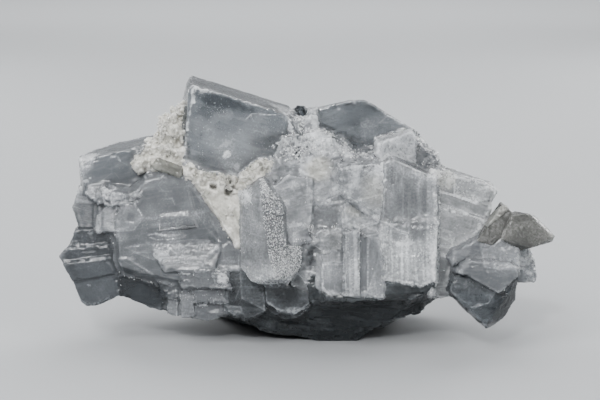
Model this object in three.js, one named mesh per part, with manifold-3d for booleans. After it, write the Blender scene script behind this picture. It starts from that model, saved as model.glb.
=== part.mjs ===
// A cluster of icy, bluish-grey barite crystals, 120 mm wide, with a sugary cream crust in two places.
// Millimetres, +Z up, the front of the cluster faces -Y, and the origin is under the middle of its box.
//
// Each crystal is convex: it is the hull of a few flat outlines, drawn in X and Z, that stand one behind
// another at their own depths in Y. Crystals that grew through each other are joined in one solid.
// Where two pieces meet, the one behind is cut back by the one in front.

import * as THREE from 'three';
import { ConvexGeometry } from 'three/addons/geometries/ConvexGeometry.js';
import { mergeVertices } from 'three/addons/utils/BufferGeometryUtils.js';
import Module from 'manifold-3d';

// ---- driving dimensions, in millimetres ----

const SEAM = 0.3; // open seam left between two pieces that touch

// depth in Y of the front faces, from the back of the cluster to the most forward crystal
const DEPTH = {
  back: 28,
  heart: 4,
  topRight: -3,
  leftSide: -4,
  tall: -5,
  leftMass: -7,
  shoulder: -7,
  slab: -10,
  wedge: -11,
  block: -13,
  column: -15,
  ridge: -17,
  farRight: -16,
};

const TALL_THICKNESS = 13;
const REST_FRONT = 0; // the front edge of the flat broken face that the cluster rests on
const REST_BACK = 29;

const BLUISH_GREY = 0x8d969b;
const SMOKY_GREY = 0x6f787d;
const FROSTED = 0xb9bec0;
const BEIGE_GREY = 0xa9a79f;
const CREAM = 0xd9d6c8;

// ---- crystals and joins ----

const wasm = await Module();
wasm.setup();

function toSolid(geometry) {
  const bare = geometry.clone();
  bare.deleteAttribute('normal');
  bare.deleteAttribute('uv');
  const merged = mergeVertices(bare, 1e-4);
  return new wasm.Manifold(new wasm.Mesh({
    numProp: 3,
    vertProperties: new Float32Array(merged.attributes.position.array),
    triVerts: new Uint32Array(merged.index.array),
  }));
}

function toGeometry(solid) {
  const mesh = solid.getMesh();
  const geometry = new THREE.BufferGeometry();
  geometry.setAttribute('position', new THREE.BufferAttribute(mesh.vertProperties, 3));
  geometry.setIndex(new THREE.BufferAttribute(mesh.triVerts, 1));
  geometry.computeVertexNormals();
  return geometry;
}

// One flat outline at depth y. lean sets its top back and turn sets its right side back, in mm per mm.
function slice(y, outline, lean = 0, turn = 0) {
  const middle = outline.reduce((sum, [x, z]) => [sum[0] + x, sum[1] + z], [0, 0])
    .map((total) => total / outline.length);
  return outline.map(([x, z]) => new THREE.Vector3(
    x,
    y + turn * (x - middle[0]) + lean * (z - middle[1]),
    z,
  ));
}

function crystal(...slices) {
  return new ConvexGeometry(slices.flat());
}

// The same shape, larger by the seam on every side: what a neighbour is cut with.
function grown(geometry) {
  const box = new THREE.Box3().setFromBufferAttribute(geometry.attributes.position);
  const size = box.getSize(new THREE.Vector3());
  const centre = box.getCenter(new THREE.Vector3());
  const larger = geometry.clone().translate(-centre.x, -centre.y, -centre.z);
  larger.scale(1 + 2 * SEAM / size.x, 1 + 2 * SEAM / size.y, 1 + 2 * SEAM / size.z);
  return larger.translate(centre.x, centre.y, centre.z);
}

function joined(shapes) {
  return shapes.map(toSolid).reduce((whole, solid) => whole.add(solid));
}

function largestBody(solid) {
  return solid.decompose().reduce((best, body) => (body.volume() > best.volume() ? body : best));
}

// ---- the pieces, from the front of the cluster to its back ----

const pieces = [];

function piece(name, colour, roughness, crystals) {
  pieces.push({ name, colour, roughness, crystals });
}

// The pointed prism in the middle: a smooth left face and a drusy right face meet on an upright ridge.
piece('central_prism', SMOKY_GREY, 0.35, [
  crystal(
    slice(DEPTH.ridge, [[-10.6, 38], [-10.2, 34], [-7.6, 19.6]], 0.05),
    slice(DEPTH.ridge + 2.4, [[-8.6, 40.2], [-5.4, 35.8], [-5.1, 27.4], [-3.6, 18.6]]),
    slice(DEPTH.block, [[-4, 17.2], [-11, 17.2], [-13, 18], [-10.5, 41]], 0.05),
    slice(DEPTH.wedge, [
      [-15.3, 38], [-15.4, 20.8], [-13, 18.2], [-4.6, 20], [-5, 27.4], [-5.2, 36], [-10, 42.4],
    ]),
    slice(DEPTH.heart, [[-14, 38], [-14, 22], [-5.4, 22], [-5.4, 38]]),
  ),
  crystal(
    slice(DEPTH.ridge, [[-8.6, 25], [-7.6, 19.6]]),
    slice(DEPTH.ridge + 2.4, [[-5.2, 27], [-3.6, 18.6]]),
    slice(DEPTH.block + 0.8, [[-1, 25.8], [-0.9, 22.6], [-1.5, 20.8], [-4, 17.4], [-5, 26.6]]),
    slice(DEPTH.heart, [[-8, 20], [-8, 26], [-2, 25], [-2, 20]]),
  ),
]);

// Three upright striated columns that overhang the underside, and the sloping face above them.
piece('lower_columns', FROSTED, 0.45, [
  crystal(
    slice(DEPTH.block, [[3.6, 16.4], [3.6, 22], [8.4, 22.4], [8.4, 15], [5.2, 15]]),
    slice(DEPTH.wedge, [[3, 16], [3, 24], [9, 25], [9, 15], [5, 14.6]]),
    slice(DEPTH.heart, [[4, 15], [4, 24], [9, 24], [9, 14]]),
  ),
  crystal(
    slice(DEPTH.column, [[8.3, 15], [8.4, 30], [12.6, 31], [12.6, 14.6], [9, 14.6]]),
    slice(DEPTH.heart, [[8, 15], [8, 31], [13, 31], [13, 14]]),
  ),
  crystal(
    slice(DEPTH.column + 1, [[12.3, 14.6], [12.3, 28.6], [17, 29.6], [18.1, 15.6], [17.8, 14.2]]),
    slice(DEPTH.heart, [[12, 15], [12, 30], [18, 30], [18, 14]]),
  ),
  crystal(
    slice(DEPTH.block + 1, [[8.4, 27], [8.2, 35], [10.4, 36.4], [17.4, 31.8], [17.6, 27]], 0.3),
    slice(DEPTH.heart, [[8, 27], [8, 37], [18, 33], [18, 27]]),
  ),
]);

// The tall block right of the middle: a dark smooth upper part and a frosted lower part one step forward.
piece('right_block', BLUISH_GREY, 0.4, [
  crystal(
    slice(DEPTH.block + 0.3, [
      [17.6, 29], [18.4, 45.6], [19.4, 47], [29.4, 42.4], [30, 30], [24, 27],
    ], 0.04),
    slice(DEPTH.heart, [[18, 28], [19, 44], [30, 42], [31, 28]]),
  ),
  crystal(
    slice(DEPTH.block - 0.5, [
      [16.9, 19], [17.3, 31.6], [24.4, 29.6], [29.8, 31], [29.6, 18.6], [27, 17],
    ], 0.02),
    slice(DEPTH.heart, [[17, 19], [18, 32], [31, 32], [31, 18], [24, 15]]),
  ),
  crystal(
    slice(DEPTH.slab, [[18, 15], [19, 19], [29.6, 19], [30.2, 15.4], [27, 14], [22, 13.8]], -0.2),
    slice(DEPTH.heart, [[18, 13], [18, 20], [31, 20], [31, 13]]),
  ),
]);

// The fused frosty mass and the wedge that hangs from it, with a shaded recess below.
piece('frosty_wedge', FROSTED, 0.6, [
  crystal(
    slice(DEPTH.wedge - 1, [[8, 44.5], [17.6, 45.4], [18.1, 37], [16.9, 32], [9.8, 37.2]], -0.04, 0.08),
    slice(DEPTH.shoulder, [[3, 40], [6, 46.8], [9, 47.4], [16, 47], [18, 44], [17, 31], [9, 35]]),
    slice(DEPTH.heart, [[4, 38], [6, 47.4], [17, 47], [17, 32]]),
  ),
  crystal(
    slice(DEPTH.wedge + 1, [[-3.4, 40], [-4, 44.6], [2, 48], [8.6, 46], [9.6, 39], [3, 35.4]], 0.12),
    slice(DEPTH.tall - 1, [[-9, 42], [-5.4, 50], [3.4, 52.4], [8, 49.8], [12, 46], [4, 34], [-5, 37]]),
    slice(DEPTH.heart, [[-6, 40], [-3, 51], [8, 50], [10, 36], [-2, 34]]),
  ),
  crystal(
    slice(DEPTH.wedge - 0.4, [
      [-5.2, 27.6], [-5.6, 37], [-7.6, 39.8], [-4.4, 42.6], [1.6, 42], [1.4, 35], [0.5, 27.6],
    ], 0.08),
    slice(DEPTH.heart, [[-5, 27], [-8, 40], [-3, 43], [3, 42], [1, 27]]),
  ),
  crystal(
    slice(DEPTH.topRight - 1, [[-5, 48], [-3.8, 53.4], [-1.4, 55], [2.2, 55.6], [3, 49]], 0.1),
    slice(DEPTH.heart + 1, [[-5, 47], [-3.4, 54], [2, 55.4], [3, 47]]),
  ),
]);

// The dark pocket faces below the wedge and left of the columns.
piece('pocket_crystals', SMOKY_GREY, 0.35, [
  crystal(
    slice(DEPTH.wedge + 0.4, [[1, 29], [1.6, 34.6], [9, 36.4], [9, 29.6], [4, 27.6]], 0.12),
    slice(DEPTH.heart, [[0, 28], [0, 36], [12, 38], [12, 28]]),
  ),
  crystal(
    slice(DEPTH.wedge, [[0, 25.4], [5, 29], [8.6, 30], [9, 22.6], [4, 20], [-0.6, 21.4]], -0.1),
    slice(DEPTH.heart, [[-2, 20], [-2, 30], [10, 31], [10, 18]]),
  ),
  crystal(
    slice(DEPTH.slab, [[-1.6, 21.4], [2, 23.6], [4.4, 23.2], [4.2, 16.6], [0, 14.6], [-3.4, 16.4]], -0.2),
    slice(DEPTH.heart, [[-4, 16], [-4, 22], [6, 24], [6, 14]]),
  ),
]);

// The pale block and the rough slope above the right block.
piece('right_shoulder', FROSTED, 0.55, [
  crystal(
    slice(DEPTH.shoulder, [[16.6, 45.4], [16.8, 49.6], [24.8, 52.2], [26, 50], [25.6, 45.4]], 0.06),
    slice(DEPTH.heart, [[16, 44], [17, 49], [25, 51.4], [26, 46]]),
  ),
  crystal(
    slice(DEPTH.shoulder + 1, [
      [23, 43], [25.4, 50.2], [28.4, 47.4], [30.6, 46], [31.4, 43], [29, 40],
    ], 0.3),
    slice(DEPTH.heart, [[22, 40], [26.6, 50.4], [29, 47.6], [31.6, 46], [33, 42], [32, 38]]),
  ),
]);

// The layered slab at the right: three cleaved layers that step forward as they go down.
piece('right_slab', FROSTED, 0.5, [
  crystal(
    slice(DEPTH.slab + 1, [[30, 39], [30.4, 43], [35, 42], [41.6, 40], [43.8, 38], [43, 35]], 0.1, 0.06),
    slice(DEPTH.heart, [[30, 36], [31, 43], [36, 41.6], [45, 38.6], [46.4, 36], [44, 33]]),
  ),
  crystal(
    slice(DEPTH.slab, [[30, 35], [30, 39.6], [43, 35.2], [42, 32]], 0.06, 0.06),
    slice(DEPTH.heart, [[30, 34], [30, 40], [44, 36], [43, 31]]),
  ),
  crystal(
    slice(DEPTH.slab - 1, [[30, 23.6], [30, 35.4], [42, 32.2], [39.6, 27], [33.6, 23]], 0.02, 0.08),
    slice(DEPTH.heart, [[29, 22], [30, 35], [43, 32], [41, 27], [35, 22]]),
  ),
  crystal(
    slice(DEPTH.slab - 2, [
      [30, 14.6], [30, 24.4], [34.4, 24.4], [36, 17], [34.8, 14.6], [32, 13.6],
    ], 0.04, 0.1),
    slice(DEPTH.heart, [[30, 13], [30, 24], [37, 24], [37, 14]]),
  ),
]);

// The flat beige blades at the far right end: a narrow bright one and the long pointed one.
piece('far_right_blade', BEIGE_GREY, 0.5, [
  crystal(
    slice(DEPTH.farRight + 2, [[39.4, 28], [45.6, 35.6], [48, 34], [46, 29], [43, 27]], 0.3, 0.2),
    slice(DEPTH.wedge + 2, [[41, 29], [45.6, 36], [48.2, 33.6], [46, 28]]),
  ),
  crystal(
    slice(DEPTH.farRight + 1, [
      [45, 28.6], [47.6, 33.6], [51.4, 34], [53.4, 32], [57, 28.8], [52, 26.6],
    ], 0.35, 0.1),
    slice(DEPTH.wedge - 1, [[46, 28], [48.6, 34], [53.6, 33], [58, 28.6], [57.6, 27.4], [50, 25.4]], 0.35),
  ),
]);

// The stacked crystals below the blades, with a rough drusy patch at their outer end.
piece('far_right_crystals', BLUISH_GREY, 0.45, [
  crystal(
    slice(DEPTH.farRight + 1, [
      [33, 24], [38, 27.8], [45, 28.4], [49, 26], [49.4, 22.4], [42.4, 20.4],
    ], 0.15),
    slice(DEPTH.heart - 4, [[32, 22], [38, 28], [46, 28], [50, 25], [50, 19], [40, 18]]),
  ),
  crystal(
    slice(DEPTH.farRight - 2, [[35.4, 21.4], [37.8, 23.8], [47.4, 22.6], [49.6, 20.6], [44.6, 16.2]], 0.1),
    slice(DEPTH.heart - 6, [[34, 19], [37, 25], [50, 24], [50.4, 18], [43, 16]]),
  ),
  crystal(
    slice(DEPTH.slab - 1, [
      [48.6, 25.4], [51.8, 25.6], [53.4, 22], [53, 20], [54.2, 18.6], [53.8, 17], [48, 17],
    ]),
    slice(DEPTH.heart - 8, [[48, 25], [52.6, 25], [54.4, 21], [55, 17], [48, 17]]),
  ),
]);

// The crystal that hangs lowest at the right, with its darker outer face.
piece('lower_right_crystal', SMOKY_GREY, 0.35, [
  crystal(
    slice(DEPTH.farRight, [
      [33.4, 16], [34.4, 19.4], [39.6, 19], [46.4, 14.6], [41.8, 8.4], [38.6, 11],
    ], 0.05),
    slice(DEPTH.farRight + 4, [
      [33, 15.4], [34, 20], [49.4, 18], [49.2, 13.2], [46.4, 8.4], [42.4, 6.2], [38, 10],
    ]),
    slice(DEPTH.heart - 8, [[34, 15], [35, 21], [49.6, 19], [49.6, 12.6], [43, 7.4], [37, 11]]),
  ),
]);

// The small glassy crystals under the middle.
piece('bottom_crystals', SMOKY_GREY, 0.25, [
  crystal(
    slice(DEPTH.slab + 2, [
      [-18, 14], [-18.4, 19.4], [-12, 19.4], [-9.8, 16], [-9.6, 9.6], [-12, 8.2], [-15, 7.6], [-18.8, 9.4],
    ]),
    slice(DEPTH.heart, [[-20, 19], [-10, 19], [-9, 12], [-12, 6], [-15, 5], [-20, 7]]),
  ),
  crystal(
    slice(DEPTH.slab + 1, [
      [-9.6, 11.4], [-9.8, 15.8], [-1.4, 15.4], [1.2, 13.4], [-1.2, 9.2], [-5, 8.6],
    ], -0.1),
    slice(DEPTH.heart, [[-11, 9], [-11, 17], [3, 16], [3, 11], [-2, 6], [-6, 5]]),
  ),
]);

// The sugary cream crust that runs down between the tall crystal and the prism.
piece('cream_crust_wedge', CREAM, 0.95, [
  crystal(
    slice(DEPTH.leftMass - 1, [
      [-25.6, 39.8], [-20.6, 38.4], [-15.6, 39], [-15.4, 27.4], [-16.2, 25.2], [-19.6, 31],
    ]),
    slice(DEPTH.tall - 1, [
      [-27.6, 42.6], [-24, 40.6], [-19.6, 39.6], [-13, 40.6], [-13.4, 30], [-15.6, 24],
    ]),
    slice(DEPTH.heart - 2, [[-27, 40], [-14, 40], [-14, 26]]),
  ),
  crystal(
    slice(DEPTH.tall - 1.4, [
      [-17.4, 38], [-15.6, 41], [-12.4, 44], [-10.6, 45.2], [-7, 44], [-8, 39],
    ], 0.2),
    slice(DEPTH.heart - 2, [[-18, 37], [-15, 41], [-7, 45], [-6, 38]]),
  ),
  crystal(
    slice(DEPTH.tall - 1, [[-29, 43.4], [-27.4, 44.6], [-25, 42.6], [-24.6, 40], [-26.6, 40.4]], 0.1),
    slice(DEPTH.heart - 2, [[-29, 43], [-27, 44], [-24, 42], [-24, 39]]),
  ),
]);

// The tall smooth plate: a broad front face, a thick top edge and a narrow left edge.
piece('tall_crystal', BLUISH_GREY, 0.25, [
  crystal(
    slice(DEPTH.tall, [
      [-28.6, 44], [-27.6, 62], [-26.6, 63.2], [-5, 56.5], [-2, 51], [-3, 40], [-14, 32], [-24, 35],
    ]),
    slice(DEPTH.tall + TALL_THICKNESS, [
      [-30, 44], [-29.8, 58.6], [-28.9, 62], [-27.8, 64.2], [-4.3, 56.8], [0, 52], [-1, 38], [-12, 30],
      [-26, 34],
    ]),
  ),
]);

// The broad block at the upper right, with a rounded top.
piece('top_right_crystal', BLUISH_GREY, 0.3, [
  crystal(
    slice(DEPTH.topRight, [
      [0.8, 44], [1, 57.1], [5, 57.9], [10.4, 59.3], [13.6, 59.4], [15.3, 58.6], [19.6, 55.4], [25, 52.6],
      [24, 42], [8, 40],
    ]),
    slice(DEPTH.topRight + TALL_THICKNESS, [
      [0.5, 44], [0.7, 55.6], [10.6, 57.6], [14, 57.7], [17.6, 55.7], [22.8, 52], [27.6, 49.6],
      [29, 44], [22, 36], [4, 36],
    ]),
  ),
]);

// The small greenish prism that lies in the foot of the upper crust.
piece('crust_prism', SMOKY_GREY, 0.3, [
  crystal(
    slice(DEPTH.leftMass + 1, [[-35.6, 44], [-34.8, 45.4], [-29.2, 43.2], [-30, 41.8]], 0.1),
    slice(DEPTH.heart - 3, [[-36, 44], [-35, 45.6], [-29, 43.4], [-30, 41.6]]),
  ),
]);

// The cream crust on the upper left, between the cap and the tall crystal: lumps of it, grown together.
piece('cream_crust_top', CREAM, 0.95, [
  crystal(
    slice(DEPTH.tall, [[-39.8, 44.8], [-38.4, 47.6], [-33, 49.4], [-28.8, 48], [-29, 43.6], [-35, 43.4]]),
    slice(DEPTH.heart, [[-41, 43], [-38, 48.8], [-34, 51.4], [-28, 51], [-28, 43]]),
  ),
  crystal(
    slice(DEPTH.tall - 1.6, [[-40.6, 43.4], [-39.8, 45.8], [-38.2, 45.4], [-38.6, 42.8]]),
    slice(DEPTH.heart, [[-41.6, 43], [-40.6, 46.6], [-37.6, 46], [-38, 42]]),
  ),
  crystal(
    slice(DEPTH.tall + 1, [[-35.2, 47.4], [-34.4, 52.4], [-31.6, 54.6], [-28.4, 53], [-28.6, 47]]),
    slice(DEPTH.heart, [[-35.6, 48], [-35.2, 53], [-33.4, 55], [-31, 55.6], [-28.4, 54], [-28.4, 48]]),
  ),
  crystal(
    slice(DEPTH.tall + 3, [[-31.8, 53], [-31.4, 55.8], [-29.2, 57.4], [-28.2, 55], [-28.4, 52]]),
    slice(DEPTH.heart + 1, [[-32.4, 53], [-32, 56], [-29.8, 57], [-28.6, 57], [-28.6, 52]]),
  ),
]);

// The small dark crystal in the notch between the two tall ones.
piece('small_back_crystal', SMOKY_GREY, 0.15, [
  crystal(
    slice(DEPTH.heart + 5, [[-3.6, 48], [-3.2, 55.2], [-2.2, 56.7], [-0.3, 56.5], [0.2, 54.7], [0.2, 48]]),
    slice(DEPTH.heart + 9, [[-3.2, 48], [-3, 54.6], [-1.6, 56], [0.4, 54], [0.6, 48]]),
  ),
]);

// The grey block at the upper left edge.
piece('left_cap_crystal', BLUISH_GREY, 0.35, [
  crystal(
    slice(DEPTH.leftSide + 1, [
      [-52.5, 37], [-53.3, 43.6], [-50, 45.6], [-40, 48.2], [-35.5, 48.4], [-34, 38], [-42, 34],
    ], 0.1),
    slice(DEPTH.heart + 8, [
      [-54.6, 34], [-55.6, 37], [-55.8, 43.5], [-52, 45.3], [-46, 47.3], [-36.3, 49.2], [-29, 47],
      [-31, 34],
    ]),
  ),
]);

// The rough bright ledge below the cap, the short columns beside it and the pale block under it.
piece('left_ledge_crystal', FROSTED, 0.6, [
  crystal(
    slice(DEPTH.leftSide + 2, [
      [-54.6, 28.2], [-56, 33.4], [-54.4, 37.4], [-50, 38.8], [-47, 34.6], [-47.4, 28],
    ], 0.08, -0.1),
    slice(DEPTH.heart + 6, [[-54, 27], [-56.6, 33.6], [-54.6, 38], [-46, 38], [-44, 27]]),
  ),
  crystal(
    slice(DEPTH.leftMass, [[-50.6, 36.6], [-46.4, 34.8], [-40, 35.4], [-39.2, 36.8], [-45, 37.6]]),
    slice(DEPTH.leftSide + 3, [[-53.4, 38], [-50, 40.2], [-45, 39.6], [-39.4, 38.4], [-40, 34], [-52, 35]]),
  ),
  crystal(
    slice(DEPTH.leftMass + 1.4, [
      [-49, 28.6], [-48.8, 35], [-39.6, 36], [-38.4, 33.4], [-40.4, 28.8], [-45, 27.8],
    ], 0.12),
    slice(DEPTH.heart, [[-50, 28], [-50, 36], [-38, 36], [-38, 28]]),
  ),
]);

// The cleaved stack at the far left: four layers, each with its own ledge.
piece('left_stack', BLUISH_GREY, 0.4, [
  crystal(
    slice(DEPTH.leftSide, [[-55, 28.4], [-47.4, 28.4], [-46, 24], [-57, 24]], 0.1),
    slice(DEPTH.heart + 6, [[-54, 28], [-44, 28], [-43, 23], [-56, 23]]),
  ),
  crystal(
    slice(DEPTH.leftSide - 0.6, [
      [-57, 24.3], [-46.2, 25.2], [-45.4, 22.2], [-58, 20.6], [-59, 22],
    ], 0.05, -0.05),
    slice(DEPTH.heart + 5, [[-56, 24], [-43, 25], [-42, 21], [-57, 20]]),
  ),
  crystal(
    slice(DEPTH.leftSide - 1.4, [[-58.2, 20.8], [-45.8, 22.4], [-44.8, 18.2], [-55.8, 16.4]], 0.05, -0.05),
    slice(DEPTH.heart + 4, [[-57, 21], [-42, 22], [-41, 17], [-55, 15]]),
  ),
  crystal(
    slice(DEPTH.leftSide - 0.8, [
      [-56, 16.6], [-45.2, 18.2], [-45, 12.6], [-49.6, 10], [-52.6, 9.8], [-54, 11],
    ], -0.05, -0.05),
    slice(DEPTH.heart + 3, [[-55, 17], [-42, 18], [-42, 13], [-49, 9.6], [-53, 9.6]]),
  ),
]);

// The large slanted crystal of the left middle: its long edge runs down beside the cream crust.
piece('left_mass', BLUISH_GREY, 0.35, [
  crystal(
    slice(DEPTH.leftMass, [
      [-44, 20.6], [-44.6, 31], [-38, 40.4], [-30, 42.2], [-27.8, 40], [-15.8, 24.6], [-14.2, 18.4],
      [-30, 17],
    ], 0.1),
    slice(DEPTH.leftSide + 1, [
      [-46.4, 18], [-46.6, 34], [-38, 42.4], [-28.4, 43.4], [-24.6, 39], [-14.6, 24], [-14, 16],
      [-34, 14],
    ]),
    slice(DEPTH.heart + 6, [[-44, 18], [-44, 36], [-32, 42], [-14, 26], [-14, 16]]),
  ),
  crystal(
    slice(DEPTH.leftMass - 0.5, [[-34.6, 32.2], [-27.6, 33.2], [-25.6, 29.6], [-35, 28.6]], 0.35),
    slice(DEPTH.heart, [[-36, 32], [-27, 34], [-24, 28], [-36, 28]]),
  ),
  crystal(
    slice(DEPTH.leftMass - 1, [
      [-36.6, 27], [-24, 27.4], [-20, 25], [-21.6, 20.2], [-33.4, 19.2], [-36, 23],
    ], 0.3),
    slice(DEPTH.heart, [[-38, 28], [-22, 28], [-18, 24], [-20, 18], [-36, 17]]),
  ),
]);

// The smooth lower left face and the small cleaved steps and cubes beside it.
piece('lower_left_steps', BLUISH_GREY, 0.4, [
  crystal(
    slice(DEPTH.leftSide, [
      [-45.4, 12.8], [-46, 18], [-33.6, 17.6], [-32, 13], [-33, 8], [-37.6, 9.2], [-42.6, 11.6],
    ], -0.12),
    slice(DEPTH.heart + 6, [[-46, 13], [-46, 19], [-30, 19], [-30, 9], [-36, 8]]),
  ),
  crystal(
    slice(DEPTH.leftMass + 0.6, [[-35, 12.4], [-35, 17.8], [-28.6, 18.6], [-28.4, 13], [-31, 11.6]], 0.1),
    slice(DEPTH.heart, [[-36, 12], [-36, 19], [-28, 19], [-28, 12]]),
  ),
  crystal(
    slice(DEPTH.leftMass + 1, [[-33.5, 8], [-33, 12.5], [-30.5, 12], [-30.5, 7.4]]),
    slice(DEPTH.heart, [[-34, 8], [-34, 13], [-30, 13], [-30, 7]]),
  ),
  crystal(
    slice(DEPTH.leftMass, [[-30, 7.6], [-29.6, 15], [-27, 14.6], [-26.6, 7]]),
    slice(DEPTH.heart, [[-31, 8], [-31, 16], [-26, 16], [-26, 6.6]]),
  ),
  crystal(
    slice(DEPTH.leftMass - 0.6, [[-27, 11.4], [-27, 15], [-17, 14.6], [-15.6, 12.4], [-17, 10.6]]),
    slice(DEPTH.heart, [[-28, 10], [-28, 16], [-16, 16], [-15, 12], [-17, 9]]),
  ),
  crystal(
    slice(DEPTH.leftMass + 1, [
      [-26.6, 7], [-26.8, 12], [-17, 11], [-17.6, 9.4], [-19.6, 7.6], [-23.6, 6.4],
    ]),
    slice(DEPTH.heart, [[-27, 6], [-27, 12], [-16, 12], [-17, 8], [-23, 5.2]]),
  ),
  crystal(
    slice(DEPTH.leftMass - 2, [[-29.6, 15], [-29.6, 20], [-19.6, 19.6], [-18, 15]], 0.1),
    slice(DEPTH.heart, [[-31, 14], [-31, 21], [-18, 21], [-17, 14]]),
  ),
]);

// The broken heart of the cluster: its keel has the flat face that everything rests on.
piece('base_mass', SMOKY_GREY, 0.6, [
  crystal(
    slice(DEPTH.column + 7, [[-3, 12], [27, 12], [28, 24], [-6, 24]]),
    slice(REST_FRONT, [
      [-20, 6], [-11, 3], [3, 0], [12.4, 0], [20, 3.8], [28, 7.4], [33, 11], [33, 25], [-20, 25],
    ]),
    slice(REST_BACK, [[-25, 0], [22, 0], [30, 9], [28, 24], [-27, 20]]),
  ),
  crystal(
    slice(DEPTH.block, [[5, 13.4], [6, 20], [29, 20], [30, 15], [24, 13]]),
    slice(DEPTH.column + 8, [[-5, 11.4], [-6, 20], [31, 20], [32, 13], [25, 10.4], [8, 9.6]]),
    slice(DEPTH.heart, [[-6, 10], [-6, 20], [31, 20], [33, 12]]),
  ),
  crystal(
    slice(DEPTH.column + 11, [[6, 6.6], [8, 9], [27, 9.8], [29, 8.6], [21, 5.4]]),
    slice(DEPTH.heart, [[5, 2], [6, 9], [30, 10], [28, 7]]),
  ),
  crystal(
    slice(0, [[-44, 14], [-45, 34], [-30, 42], [22, 44], [40, 34], [40, 22], [30, 12], [-34, 10]]),
    slice(DEPTH.back - 6, [[-34, 10], [-40, 28], [-28, 38], [22, 42], [38, 32], [37, 16], [-18, 4]]),
  ),
  crystal(
    slice(DEPTH.slab + 2, [[34, 18], [36, 30], [48, 28], [50, 20], [44, 14]]),
    slice(DEPTH.heart + 6, [[30, 16], [32, 34], [44, 32], [48, 24], [43, 16]]),
  ),
]);

// The crystals of the back: three stout plates that lean on each other, joined where they cross.
piece('back_crystals', BLUISH_GREY, 0.4, [
  crystal(
    slice(DEPTH.back - 12, [[-40, 14], [-44, 34], [-26, 45], [-12, 44], [-10, 16]], 0.1),
    slice(DEPTH.back, [[-31, 12], [-36, 30], [-24, 41], [-14, 38], [-11, 14]], 0.25, -0.1),
  ),
  crystal(
    slice(DEPTH.back - 16, [[-12, 20], [-14, 50], [0, 52], [16, 48], [20, 20]]),
    slice(DEPTH.back + 7, [[-9, 14], [-10, 38], [3, 45], [15, 38], [15, 12]], 0.12, 0.1),
  ),
  crystal(
    slice(DEPTH.back - 18, [[12, 16], [10, 48], [28, 46], [42, 33], [40, 18]]),
    slice(DEPTH.back + 2, [[14, 10], [14, 38], [27, 40], [38, 28], [35, 12]], 0.1, 0.12),
  ),
  crystal(
    slice(DEPTH.back - 18, [[-54, 20], [-54, 36], [-40, 42], [-36, 20]], 0.2),
    slice(DEPTH.back - 8, [[-48, 18], [-50, 31], [-40, 38], [-32, 30], [-34, 16]], 0.2, -0.15),
  ),
]);

// ---- the cluster ----

// A piece loses whatever the pieces before it in the list have taken, and a seam besides.
const finished = [];
let taken = null;
for (const { name, colour, roughness, crystals } of pieces) {
  const whole = joined(crystals);
  const solid = largestBody(taken ? whole.subtract(taken) : whole);
  const cutter = joined(crystals.map(grown));
  taken = taken ? taken.add(cutter) : cutter;
  finished.push({ name, colour, roughness, solid });
}

const box = new THREE.Box3();
for (const { solid } of finished) {
  const { min, max } = solid.boundingBox();
  box.expandByPoint(new THREE.Vector3(...min));
  box.expandByPoint(new THREE.Vector3(...max));
}
const middle = box.getCenter(new THREE.Vector3());

const cluster = new THREE.Group();
cluster.name = 'barite_specimen';
for (const { name, colour, roughness, solid } of finished) {
  const material = new THREE.MeshStandardMaterial({ color: colour, roughness, metalness: 0 });
  const mesh = new THREE.Mesh(toGeometry(solid), material);
  mesh.name = name;
  mesh.position.set(-middle.x, -middle.y, -box.min.z);
  cluster.add(mesh);
}

export default cluster;
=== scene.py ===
"""A cabinet specimen of barite: icy, bluish-grey crystals grown together, with cleaved steps, veils of
sealed fluid, patches of sparkling druse and a sugary cream crust. Each crystal's skin is a fine mesh
worked out from its own solid, and every grain is real geometry. Lengths are in millimetres until a
mesh is made, and X, Y and Z are the part's own axes."""

from collections import namedtuple

import bpy
import numpy as np
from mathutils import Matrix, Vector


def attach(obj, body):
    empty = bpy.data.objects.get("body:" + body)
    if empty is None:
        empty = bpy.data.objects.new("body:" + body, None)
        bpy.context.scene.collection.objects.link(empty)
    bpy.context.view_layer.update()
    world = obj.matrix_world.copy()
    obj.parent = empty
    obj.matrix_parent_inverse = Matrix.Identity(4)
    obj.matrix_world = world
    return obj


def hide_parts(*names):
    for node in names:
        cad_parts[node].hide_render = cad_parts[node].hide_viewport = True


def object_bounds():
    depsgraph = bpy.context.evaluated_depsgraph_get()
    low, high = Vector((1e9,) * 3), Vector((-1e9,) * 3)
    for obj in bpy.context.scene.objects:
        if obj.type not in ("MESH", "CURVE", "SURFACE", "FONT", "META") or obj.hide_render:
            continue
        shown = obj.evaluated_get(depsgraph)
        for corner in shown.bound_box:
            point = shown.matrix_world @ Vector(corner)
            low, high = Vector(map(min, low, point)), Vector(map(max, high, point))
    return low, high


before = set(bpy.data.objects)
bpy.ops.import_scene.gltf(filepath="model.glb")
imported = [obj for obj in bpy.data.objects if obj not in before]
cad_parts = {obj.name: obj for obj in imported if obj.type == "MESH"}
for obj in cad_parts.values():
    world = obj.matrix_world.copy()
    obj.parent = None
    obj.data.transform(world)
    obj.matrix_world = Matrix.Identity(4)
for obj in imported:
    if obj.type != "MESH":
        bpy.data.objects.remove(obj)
cad_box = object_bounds()

# ---------------------------------------------------------------------------------------------------
# The tall crystal: one smooth, thick plate of clear barite at the upper left. Its broad face grew flat,
# its top face has fine growth lines, its rims are chipped, and a dark speckled window and a few white
# flakes show in its front. Its skin, like every crystal's here, is the solid's own surface, roughened.


def lattice(cells, seed):
    """One repeatable random number from 0 to 1 for each whole-number cell (x, y, z)."""
    x, y, z = (cells[:, axis].astype(np.int64).astype(np.uint32) for axis in range(3))
    mixed = x * np.uint32(374761393) + y * np.uint32(668265263) + z * np.uint32(2246822519)
    mixed = mixed + np.uint32((seed * 974634777) % 4294967296)
    mixed = (mixed ^ (mixed >> np.uint32(13))) * np.uint32(1274126177)
    mixed = (mixed ^ (mixed >> np.uint32(16))) * np.uint32(2654435761)
    return (mixed >> np.uint32(8)).astype(float) / 16777215.0


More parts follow.
